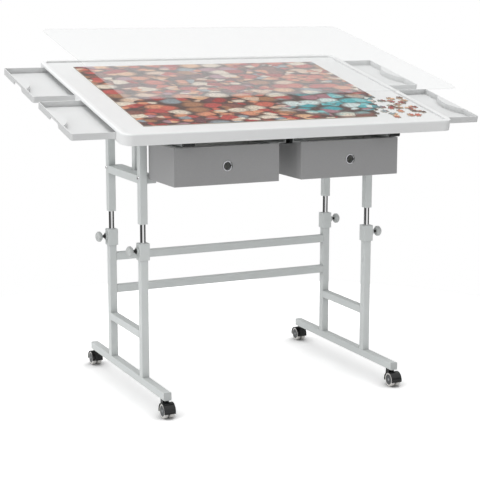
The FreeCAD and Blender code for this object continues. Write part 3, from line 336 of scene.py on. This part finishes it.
def makeWheel():
    # twin wheel: a pale soft tyre round a dark nylon face with a small bright hub cap, all a little dusty
    material, tree, place = startMaterial("casterWheelNylon")
    radius = wheelZones["axleZ"]
    share = addNode(tree, "Math", {0: axleDistance(tree, place), 1: radius * mm}, operation="DIVIDE")
    zones = addNode(tree, "ValToRGB", {"Fac": share}, stops=[
        (0, wheelZones["hub"]),
        (wheelZones["hubInside"] / radius, wheelZones["face"]),
        (wheelZones["tyreInside"] / radius, wheelZones["tyre"]),
    ])
    zones.color_ramp.interpolation = "CONSTANT"
    dust = addNode(
        tree, "TexNoise",
        {"Vector": place, "Scale": 1 / (wheelZones["dust"] * mm), "Detail": wheelZones["dustDetail"]},
    )
    worn = addNode(
        tree, "Mix", {"Factor": wheelZones["dustShare"], "A": zones, "B": dust.outputs["Color"]},
        data_type="RGBA", blend_type="MULTIPLY",
    )
    bump = addNode(
        tree, "Bump",
        {"Height": dust, "Strength": wheelZones["dustBump"], "Distance": wheelZones["dustDepth"] * mm},
    )
    endMaterial(tree, {"Base Color": worn, "Roughness": wheelZones["roughness"], "Normal": bump})
    return material


clampKnob = {
    "gripStart": 351.1, "grip": "D2D5D4", "gripDark": "C9CCCB", "gripRoughness": 0.45,
    "screw": "161718", "screwRoughness": 0.28,
    "mottle": 5, "mottleDetail": 3, "texture": 0.8, "textureDepth": 0.05, "textureBump": 0.2,
}


def makeKnob():
    # grey nylon grip on a blackened screw: the two are told apart by how far out they lie
    material, tree, place = startMaterial("knobNylonAndBlackSteel")
    axes = addNode(tree, "SeparateXYZ", {"Vector": place})
    out = addNode(tree, "Math", {0: axes.outputs["X"]}, operation="ABSOLUTE")
    isGrip = addNode(tree, "Math", {0: out, 1: clampKnob["gripStart"] * mm}, operation="GREATER_THAN")
    mottle = addNode(
        tree, "TexNoise",
        {"Vector": place, "Scale": 1 / (clampKnob["mottle"] * mm), "Detail": clampKnob["mottleDetail"]},
    )
    grip = addNode(
        tree, "Mix", {"Factor": mottle, "A": clampKnob["gripDark"], "B": clampKnob["grip"]}, data_type="RGBA"
    )
    either = addNode(tree, "Mix", {"Factor": isGrip, "A": clampKnob["screw"], "B": grip}, data_type="RGBA")
    rough = addNode(
        tree, "MapRange",
        {"Value": isGrip, "To Min": clampKnob["screwRoughness"], "To Max": clampKnob["gripRoughness"]},
    )
    texture = addNode(tree, "TexNoise", {"Vector": place, "Scale": 1 / (clampKnob["texture"] * mm)})
    bump = addNode(
        tree, "Bump",
        {"Height": texture, "Strength": clampKnob["textureBump"], "Distance": clampKnob["textureDepth"] * mm},
    )
    endMaterial(tree, {"Base Color": either, "Roughness": rough, "Normal": bump})
    return material


hingeArm = {
    "knuckleEnd": -295.8, "black": "141516", "grey": "8E9190", "greyLight": "989B9A", "roughness": 0.4,
    "peel": 1.5, "peelDepth": 0.1, "peelBump": 0.3,
}


def makeHingeArm():
    # grey enamelled steel bar, its knuckle dipped in black nylon
    material, tree, place = startMaterial("enamelledHingeSteel")
    axes = addNode(tree, "SeparateXYZ", {"Vector": place})
    isKnuckle = addNode(
        tree, "Math", {0: axes.outputs["Y"], 1: hingeArm["knuckleEnd"] * mm}, operation="LESS_THAN"
    )
    peel = addNode(tree, "TexNoise", {"Vector": place, "Scale": 1 / (hingeArm["peel"] * mm)})
    enamel = addNode(
        tree, "Mix", {"Factor": peel, "A": hingeArm["grey"], "B": hingeArm["greyLight"]}, data_type="RGBA"
    )
    either = addNode(
        tree, "Mix", {"Factor": isKnuckle, "A": enamel, "B": hingeArm["black"]}, data_type="RGBA"
    )
    bump = addNode(
        tree, "Bump",
        {"Height": peel, "Strength": hingeArm["peelBump"], "Distance": hingeArm["peelDepth"] * mm},
    )
    endMaterial(tree, {"Base Color": either, "Roughness": hingeArm["roughness"], "Normal": bump})
    return material


def facesAlongTop(tree):
    # 1 on faces that lie along the top, 0 on their edges
    normal = addNode(tree, "TexCoord").outputs["Normal"]
    facing = addNode(
        tree, "VectorMath", {0: normal, 1: (0, -math.sin(topSlope), math.cos(topSlope))},
        operation="DOT_PRODUCT",
    )
    size = addNode(tree, "Math", {0: facing}, operation="ABSOLUTE")
    mostly = 0.5
    return addNode(tree, "Math", {0: size, 1: mostly}, operation="GREATER_THAN")


clearSheet = {
    "tint": "E9ECEC", "faceAlpha": 0.16, "edgeAlpha": 0.14, "veil": 0.05, "roughness": 0.12, "ior": 1.49,
    "scratch": 20, "scratchDetail": 6, "scratchStretch": (1, 3, 1),
}


def makeClearSheet():
    # thin acrylic with a milky veil of fine scratches, a little clearer at its cut edges
    material, tree, place = startMaterial("clearAcrylic")
    along = addNode(tree, "Mapping", {"Vector": place, "Scale": clearSheet["scratchStretch"]})
    scratches = addNode(
        tree, "TexNoise",
        {"Vector": along, "Scale": 1 / (clearSheet["scratch"] * mm), "Detail": clearSheet["scratchDetail"]},
    )
    alpha = addNode(
        tree, "MapRange",
        {"Value": facesAlongTop(tree), "To Min": clearSheet["edgeAlpha"], "To Max": clearSheet["faceAlpha"]},
    )
    veil = addNode(
        tree, "MapRange",
        {"Value": scratches, "To Min": 1 - clearSheet["veil"], "To Max": 1 + clearSheet["veil"]},
    )
    hazy = addNode(tree, "Math", {0: alpha, 1: veil}, operation="MULTIPLY")
    endMaterial(tree, {
        "Base Color": clearSheet["tint"],
        "Roughness": clearSheet["roughness"],
        "IOR": clearSheet["ior"],
        "Alpha": hazy,
    })
    return material


pebblePrint = {
    "large": 43, "small": 24, "smallShare": 0.4, "squeeze": (0.8, 1.15, 0), "ribs": 38.0, "ribDark": 0.78,
    "warpSize": 45.45, "warpDetail": 1, "warp": 8, "flatFrom": 0.32, "flatTo": 0.72, "gap": "4E362F",
    "tones": [
        (0.0, "B0352F"), (0.10, "D9705A"), (0.19, "F0BE94"), (0.28, "8C5648"), (0.36, "F4E6D2"),
        (0.45, "C8524A"), (0.54, "B4805C"), (0.62, "E89C78"), (0.70, "9AA6AC"), (0.78, "74454A"),
        (0.85, "EBCDB4"), (0.93, "B58A94"),
    ],
    "poolTones": [(0.0, "44B0BA"), (0.3, "8CD6DA"), (0.55, "E4F4F2"), (0.75, "5CC2C8"), (0.9, "B8848E")],
    "poolPlace": (196, 192, 23), "poolSize": (158, 98), "poolRagged": 55.56, "poolDetail": 3,
    "poolFrom": 1.25, "poolTo": 1.6,
    "fleck": 6, "fleckDetail": 3, "fleckTwist": 0.6, "fleckFrom": 0.3, "fleckTo": 0.7,
    "fleckDark": 0.72, "fleckLight": 1.22,
    "card": "B9B2A6", "linen": 1.2, "linenDepth": 0.08, "linenBump": 0.25, "roughness": 0.42,
}


def pebbleLayer(tree, place, size):
    # rounded stones of one size: their two sets of tones, ribs, rise above the dark gaps, and a random pick
    squeezed = addNode(tree, "Mapping", {"Vector": place, "Scale": pebblePrint["squeeze"]})
    cells = addNode(
        tree, "TexVoronoi", {"Vector": squeezed, "Scale": 1 / (size * mm)}, voronoi_dimensions="2D"
    )
    distance = cells.outputs["Distance"]
    pick = addNode(tree, "SeparateColor", {"Color": cells.outputs["Color"]})
    warm = addNode(tree, "ValToRGB", {"Fac": pick.outputs["Red"]}, stops=pebblePrint["tones"])
    cool = addNode(tree, "ValToRGB", {"Fac": pick.outputs["Red"]}, stops=pebblePrint["poolTones"])
    for ramp in (warm, cool):
        ramp.color_ramp.interpolation = "CONSTANT"
    ribs = addNode(tree, "Math", {0: distance, 1: pebblePrint["ribs"]}, operation="MULTIPLY")
    rise = addNode(
        tree, "MapRange",
        {"Value": distance, "From Min": pebblePrint["flatFrom"], "From Max": pebblePrint["flatTo"],
         "To Min": 1.0, "To Max": 0.0},
        interpolation_type="SMOOTHSTEP",
    )
    return {
        "warm": warm, "cool": cool, "ribs": addNode(tree, "Math", {0: ribs}, operation="SINE"), "rise": rise,
        "pick": pick.outputs["Green"],
    }


def insidePool(tree, flat, place):
    # 1 in a ragged ellipse near the front right corner, fading to 0 round it
    toFlat = Matrix.Rotation(-topSlope, 3, "X")
    middle = toFlat @ (topMatrix() @ (Vector(pebblePrint["poolPlace"]) * mm))
    offset = addNode(tree, "VectorMath", {0: place, 1: middle}, operation="SUBTRACT")
    width, depth = pebblePrint["poolSize"]
    scaled = addNode(
        tree, "VectorMath", {0: offset, 1: (1 / (width * mm), 1 / (depth * mm), 0)}, operation="MULTIPLY"
    )
    reach = addNode(tree, "VectorMath", {0: scaled}, operation="LENGTH")
    ragged = addNode(
        tree, "TexNoise",
        {"Vector": flat, "Scale": 1 / (pebblePrint["poolRagged"] * mm), "Detail": pebblePrint["poolDetail"]},
    )
    uneven = addNode(tree, "Math", {0: reach, 1: ragged}, operation="ADD")
    return addNode(
        tree, "MapRange",
        {"Value": uneven, "From Min": pebblePrint["poolFrom"], "From Max": pebblePrint["poolTo"],
         "To Min": 1.0, "To Max": 0.0},
    )


def makePebblePrint():
    # linen-embossed card printed with rounded pebbles in warm tones and a teal pool; its edge is bare card
    material, tree, onTable = startMaterial("printedCard")
    flat = addNode(tree, "Mapping", {"Vector": onTable, "Rotation": (-topSlope, 0, 0)})
    warp = addNode(
        tree, "TexNoise",
        {"Vector": flat, "Scale": 1 / (pebblePrint["warpSize"] * mm), "Detail": pebblePrint["warpDetail"]},
    )
    centred = addNode(
        tree, "VectorMath", {0: warp.outputs["Color"], 1: (0.5, 0.5, 0.5)}, operation="SUBTRACT"
    )
    pushed = addNode(
        tree, "VectorMath", {0: centred, 1: (2 * pebblePrint["warp"] * mm,) * 3}, operation="MULTIPLY"
    )
    place = addNode(tree, "VectorMath", {0: flat, 1: pushed}, operation="ADD")
    large = pebbleLayer(tree, place, pebblePrint["large"])
    small = pebbleLayer(tree, place, pebblePrint["small"])
    isSmall = addNode(
        tree, "Math", {0: large["pick"], 1: 1 - pebblePrint["smallShare"]}, operation="GREATER_THAN"
    )
    both = {
        part: addNode(tree, "Mix", {"Factor": isSmall, "A": large[part], "B": small[part]}, data_type="RGBA")
        for part in ("warm", "cool", "rise", "ribs")
    }
    colour = addNode(
        tree, "Mix", {"Factor": insidePool(tree, flat, place), "A": both["warm"], "B": both["cool"]},
        data_type="RGBA",
    )
    lines = addNode(
        tree, "MapRange",
        {"Value": both["ribs"], "From Min": -1, "From Max": 1,
         "To Min": pebblePrint["ribDark"], "To Max": 1.0},
    )
    # stones carry flecks and veins, drawn larger than in stone so that they show
    flecks = addNode(
        tree, "TexNoise",
        {"Vector": place, "Scale": 1 / (pebblePrint["fleck"] * mm), "Detail": pebblePrint["fleckDetail"],
         "Distortion": pebblePrint["fleckTwist"]},
    )
    veins = addNode(
        tree, "MapRange",
        {"Value": flecks, "From Min": pebblePrint["fleckFrom"], "From Max": pebblePrint["fleckTo"],
         "To Min": pebblePrint["fleckDark"], "To Max": pebblePrint["fleckLight"]},
    )
    marks = addNode(tree, "Math", {0: lines, 1: veins}, operation="MULTIPLY")
    stones = addNode(
        tree, "Mix", {"Factor": 1.0, "A": colour, "B": marks}, data_type="RGBA", blend_type="MULTIPLY"
    )
    shaded = addNode(
        tree, "Mix", {"Factor": both["rise"], "A": pebblePrint["gap"], "B": stones}, data_type="RGBA"
    )
    printed = addNode(
        tree, "Mix", {"Factor": facesAlongTop(tree), "A": pebblePrint["card"], "B": shaded}, data_type="RGBA"
    )
    linen = addNode(tree, "TexNoise", {"Vector": onTable, "Scale": 1 / (pebblePrint["linen"] * mm)})
    bump = addNode(
        tree, "Bump",
        {"Height": linen, "Strength": pebblePrint["linenBump"], "Distance": pebblePrint["linenDepth"] * mm},
    )
    endMaterial(tree, {"Base Color": printed, "Roughness": pebblePrint["roughness"], "Normal": bump})
    return material


printedCard = makePebblePrint()

# which parts, by how their names start, take which finish
finishes = [
    (makePowderCoat(), ("foot_beam", "lower_", "upper_post", "high_", "low_stretcher", "side_rail",
                        "top_side", "cross_rails", "centre_support", "clamp_collars")),
    (makePlainCoat("blackenedSteel"), ("hinge_leaves", "lower_stay", "upper_stay")),
    (makePlainCoat("darkEnamelledSteel"), ("centre_rail",)),
    (makePlainCoat("greyEnamelledSteel"), ("drawer_channels",)),
    (makePlainCoat("capNylon"), ("foot_caps",)),
    (makePlainCoat("hoodNylon"), ("caster_hood",)),
    (makeWhitePlastic("mouldedAbs"), ("tabletop",)),
    # the trays take the greyer white, which holds their painted shade
    (makeWhitePlastic("styreneWithPaintedShade"), ("tray_",)),
    (makeMetal("chromedSteel"), ("chrome_legs", "frame_bolts")),
    (makeMetal("nickelPlatedBrass"), ("eyelet",)),
    (makeMetal("zincPlatedSteel"), ("caster_stems", "hinge_pins")),
    (makeHingeArm(), ("hinge_arm",)),
    (makeDrawerCloth(), ("drawer_left", "drawer_right")),
    (makeWheel(), ("caster_wheels",)),
    (makeKnob(), ("clamp_knob",)),
    (makeClearSheet(), ("clear_cover",)),
]
for material, starts in finishes:
    for name, node in nodes.items():
        if name.startswith(starts):
            node.data.materials.clear()
            node.data.materials.append(material)
print("materials made and given to the parts")


# places on the flat top are from its middle and its front edge, and the floor it lies on is from the
# top's underside
jigsaw = {
    "left": -374, "right": 348, "front": 70, "rear": 600, "columns": 42, "rows": 30,
    "floor": 23, "thickness": 1.9, "joint": 0.2, "slack": 0.12,
    "knob": 2.5, "knobReach": 1.75, "knobSides": 7,
    "gapStart": (348, 246), "gapEnd": (262, 70), "gapRagged": 9, "seed": 3,
}


def deselect():
    bpy.ops.object.select_all(action="DESELECT")


def piecePitch():
    return (
        (jigsaw["right"] - jigsaw["left"]) / jigsaw["columns"] * mm,
        (jigsaw["rear"] - jigsaw["front"]) / jigsaw["rows"] * mm,
    )


def cutPiece(east, north, west, south):
    # one card piece at the origin; each side is flat, a knob or a hole
    deselect()
    pitchX, pitchY = piecePitch()
    thick = jigsaw["thickness"] * mm
    bpy.ops.mesh.primitive_cube_add(size=1, location=(0, 0, 0))
    piece = bpy.context.object
    piece.scale = (pitchX - jigsaw["joint"] * mm, pitchY - jigsaw["joint"] * mm, thick)
    bpy.ops.object.transform_apply(location=False, rotation=False, scale=True)
    for kind, (x, y) in ((east, (1, 0)), (north, (0, 1)), (west, (-1, 0)), (south, (0, -1))):
        if kind == "flat":
            continue
        isKnob = kind == "knob"
        reach = (jigsaw["knobReach"] if isKnob else -jigsaw["knobReach"]) * mm
        bpy.ops.mesh.primitive_cylinder_add(
            vertices=jigsaw["knobSides"],
            radius=(jigsaw["knob"] if isKnob else jigsaw["knob"] + jigsaw["slack"]) * mm,
            depth=thick if isKnob else 2 * thick,
            location=(x * (pitchX / 2 + reach), y * (pitchY / 2 + reach), 0),
            rotation=(0, 0, math.atan2(y, x) - math.pi / 2),
        )
        tool = bpy.context.object
        shape = piece.modifiers.new("shape", "BOOLEAN")
        shape.operation = "UNION" if isKnob else "DIFFERENCE"
        shape.object = tool
        shape.solver = "EXACT"
        bpy.context.view_layer.objects.active = piece
        bpy.ops.object.modifier_apply(modifier=shape.name)
        bpy.data.objects.remove(tool)
    return piece


def sideKinds(column, row):
    # neighbours alternate: a piece with knobs east and west meets pieces with holes there
    across, along = ("knob", "hole") if (column + row) % 2 == 0 else ("hole", "knob")
    return (
        "flat" if column == jigsaw["columns"] - 1 else across,
        "flat" if row == jigsaw["rows"] - 1 else along,
        "flat" if column == 0 else across,
        "flat" if row == 0 else along,
    )


def edgeOfLaid(y):
    # the laid part ends along a slanting line near the front right corner
    (startX, startY), (endX, endY) = jigsaw["gapStart"], jigsaw["gapEnd"]
    return startX + (endX - startX) * max(0, startY - y) / (startY - endY)


def isMissing(x, y, chance):
    ragged = jigsaw["gapRagged"]
    return y < jigsaw["gapStart"][1] and x > edgeOfLaid(y) + chance.uniform(-ragged, ragged)


def copyOf(piece, matrix):
    copy = bpy.data.objects.new("piece", piece.data.copy())
    bpy.context.scene.collection.objects.link(copy)
    copy.data.transform(matrix)
    return copy


def joinOnTop(name, copies):
    deselect()
    for copy in copies:
        copy.select_set(True)
    bpy.context.view_layer.objects.active = copies[0]
    bpy.ops.object.join()
    whole = bpy.context.object
    whole.name = whole.data.name = name
    whole.data.transform(topMatrix())
    whole.data.materials.clear()
    whole.data.materials.append(printedCard)
    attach(whole, "top")


def layJigsaw(height):
    # rows and columns of pieces, short of the unfinished corner; each pattern of sides is cut once
    chance = random.Random(jigsaw["seed"])
    patterns = {}
    copies = []
    pitchX, pitchY = piecePitch()
    for column in range(jigsaw["columns"]):
        for row in range(jigsaw["rows"]):
            x = jigsaw["left"] * mm + (column + 0.5) * pitchX
            y = jigsaw["front"] * mm + (row + 0.5) * pitchY
            if isMissing(x / mm, y / mm, chance):
                continue
            kinds = sideKinds(column, row)
            if kinds not in patterns:
                patterns[kinds] = cutPiece(*kinds)
            copies.append(copyOf(patterns[kinds], Matrix.Translation(Vector((x, y, height)))))
    joinOnTop("laidJigsaw", copies)
    return patterns


loosePieces = {
    "left": 296, "right": 420, "front": 60, "rear": 226, "count": 21, "seed": 11, "tries": 400,
    "apart": 20, "clear": 17,
}


def scatterLoose(patterns, height):
    # loose pieces lie beside the unfinished corner, apart from it and from each other
    chance = random.Random(loosePieces["seed"])
    spots = []
    for attempt in range(loosePieces["tries"]):
        if len(spots) == loosePieces["count"]:
            break
        x = chance.uniform(loosePieces["left"], loosePieces["right"])
        y = chance.uniform(loosePieces["front"], loosePieces["rear"])
        beside = x - edgeOfLaid(y) > loosePieces["clear"]
        if beside and all(math.hypot(x - a, y - b) > loosePieces["apart"] for a, b in spots):
            spots.append((x, y))
    inner = [pattern for kinds, pattern in patterns.items() if "flat" not in kinds]
    copies = []
    for x, y in spots:
        turn = Matrix.Rotation(chance.uniform(0, 2 * math.pi), 4, "Z")
        put = Matrix.Translation(Vector((x * mm, y * mm, height)))
        copies.append(copyOf(chance.choice(inner), put @ turn))
    joinOnTop("loosePieces", copies)


middleHeight = (jigsaw["floor"] + jigsaw["thickness"] / 2) * mm
piecePatterns = layJigsaw(middleHeight)
scatterLoose(piecePatterns, middleHeight)
for pattern in piecePatterns.values():
    bpy.data.objects.remove(pattern)
print("jigsaw laid and loose pieces scattered")


paleFloor = {
    "radius": 1250, "sides": 96, "bounce": "E0E0E0", "shadow": 0.5, "open": 0.9, "lift": 0.55,
    "contact": 110, "contactFrom": 0.45, "contactTo": 0.94, "samples": 12,
}


def backgroundRays(tree):
    # rays that should meet the white background rather than the light level, and rays from shiny parts
    rays = addNode(tree, "LightPath")
    straight = addNode(
        tree, "Math", {0: rays.outputs["Is Camera Ray"], 1: rays.outputs["Is Transmission Ray"]},
        operation="MAXIMUM",
    )
    return straight, rays.outputs["Is Glossy Ray"]


def makeFloor():
    # a pale disc that blends into the background and keeps the contact shadows of beams and casters
    deselect()
    bpy.ops.mesh.primitive_circle_add(
        vertices=paleFloor["sides"], radius=paleFloor["radius"] * mm, fill_type="NGON", location=(0, 0, 0)
    )
    floor = bpy.context.object
    floor.name = "floor"
    material = bpy.data.materials.new("paleFloor")
    material.use_nodes = True
    tree = material.node_tree
    tree.nodes.clear()
    straight, glossy = backgroundRays(tree)
    seen = addNode(tree, "Math", {0: straight, 1: glossy}, operation="MAXIMUM")
    freely = addNode(
        tree, "AmbientOcclusion", {"Distance": paleFloor["contact"] * mm}, samples=paleFloor["samples"]
    )
    clear = addNode(
        tree, "MapRange",
        {"Value": freely.outputs["AO"], "From Min": paleFloor["contactFrom"],
         "From Max": paleFloor["contactTo"]},
    )
    bright = addNode(
        tree, "MapRange", {"Value": clear, "To Min": paleFloor["shadow"], "To Max": paleFloor["open"]}
    )
    colour = addNode(tree, "Mix", {"Factor": seen, "A": paleFloor["bounce"], "B": bright}, data_type="RGBA")
    matt = addNode(tree, "BsdfDiffuse", {"Color": colour})
    shown = addNode(tree, "Math", {0: straight, 1: clear}, operation="MULTIPLY")
    lift = addNode(tree, "Math", {0: shown, 1: paleFloor["lift"]}, operation="MULTIPLY")
    glow = addNode(tree, "Emission", {"Color": "FFFFFF", "Strength": lift})
    addNode(tree, "OutputMaterial", {"Surface": addNode(tree, "AddShader", {0: matt, 1: glow})})
    floor.data.materials.append(material)


room = {
    "light": 0.56, "lean": 0.35, "leanFrom": (-0.93, -0.36, 0.0), "softboxFrom": (-0.09, -0.996, 0.0),
    "overheadFrom": 0.25, "overheadTo": 0.5,
    "bands": [
        (0.0, "FFFFFF"), (0.012, "D0D0D0"), (0.03, "606060"), (0.5, "404040"), (0.86, "4C4C4C"),
        (0.93, "E8E8E8"), (1.0, "FFFFFF"),
    ],
}


def makeRoom():
    # a soft light, a little stronger from the left; shiny parts also see a softbox in front, a narrow one
    # behind, one overhead and dark sides
    world = bpy.data.worlds.new("studio")
    world.use_nodes = True
    tree = world.node_tree
    tree.nodes.clear()
    straight, glossy = backgroundRays(tree)
    towards = addNode(tree, "TexCoord").outputs["Generated"]
    front = addNode(tree, "VectorMath", {0: towards, 1: room["softboxFrom"]}, operation="DOT_PRODUCT")
    share = addNode(tree, "MapRange", {"Value": front, "From Min": -1.0})
    bands = addNode(tree, "ValToRGB", {"Fac": share}, stops=room["bands"])
    axes = addNode(tree, "SeparateXYZ", {"Vector": towards})
    overhead = addNode(
        tree, "MapRange",
        {"Value": axes.outputs["Z"], "From Min": room["overheadFrom"], "From Max": room["overheadTo"]},
        interpolation_type="SMOOTHSTEP",
    )
    mirrored = addNode(tree, "Mix", {"Factor": overhead, "A": bands, "B": "FFFFFF"}, data_type="RGBA")
    side = addNode(tree, "VectorMath", {0: towards, 1: room["leanFrom"]}, operation="DOT_PRODUCT")
    soft = addNode(
        tree, "MapRange",
        {"Value": side, "From Min": -1.0, "To Min": room["light"] * (1 - room["lean"]),
         "To Max": room["light"] * (1 + room["lean"])},
    )
    level = addNode(tree, "MapRange", {"Value": straight, "To Min": soft, "To Max": 1.0})
    evenLight = addNode(tree, "Background", {"Color": "FFFFFF", "Strength": level})
    mirrorLight = addNode(tree, "Background", {"Color": mirrored, "Strength": 1.0})
    either = addNode(tree, "MixShader", {0: glossy, 1: evenLight, 2: mirrorLight})
    addNode(tree, "OutputWorld", {"Surface": either})
    bpy.context.scene.world = world


# one large lamp overhead, a weaker one low on the left that reaches under the trays, and one behind on
# the right for the sides that they leave dark; each has its direction from the middle and its power in
# watts, and the other values are in metres
lamps = {
    "middle": (0, 0, 0.5), "distance": 9.0, "size": 5.0,
    "placed": [((-0.05, -0.02, 0.49), 400), ((-0.92, -0.2, 0.26), 165), ((0.9, 0.42, 0.2), 150)],
}


def makeLamps():
    for towards, power in lamps["placed"]:
        direction = Vector(towards).normalized()
        place = Vector(lamps["middle"]) + direction * lamps["distance"]
        bpy.ops.object.light_add(type="AREA", location=place)
        lamp = bpy.context.object
        lamp.data.energy = power
        lamp.data.size = lamps["size"]
        lamp.rotation_euler = (-direction).to_track_quat("-Z", "Y").to_euler()


cameraPlace = {
    "x": -1489.5, "y": -3155.3, "z": 1018.8, "yaw": 25.17, "down": 10.45, "roll": -0.09,
    "lens": 99.4, "sensor": 36, "farthest": 60000,
}


def makeCamera():
    bpy.ops.object.camera_add(location=[cameraPlace[axis] * mm for axis in "xyz"])
    camera = bpy.context.object
    camera.rotation_euler = [
        math.radians(angle) for angle in (90 - cameraPlace["down"], cameraPlace["roll"], -cameraPlace["yaw"])
    ]
    camera.data.lens = cameraPlace["lens"]
    camera.data.sensor_width = cameraPlace["sensor"]
    camera.data.clip_end = cameraPlace["farthest"] * mm
    bpy.context.scene.camera = camera


makeFloor()
makeRoom()
makeLamps()
makeCamera()
bpy.context.scene.view_settings.view_transform = "Standard"
print("floor, room, lamps and camera set")
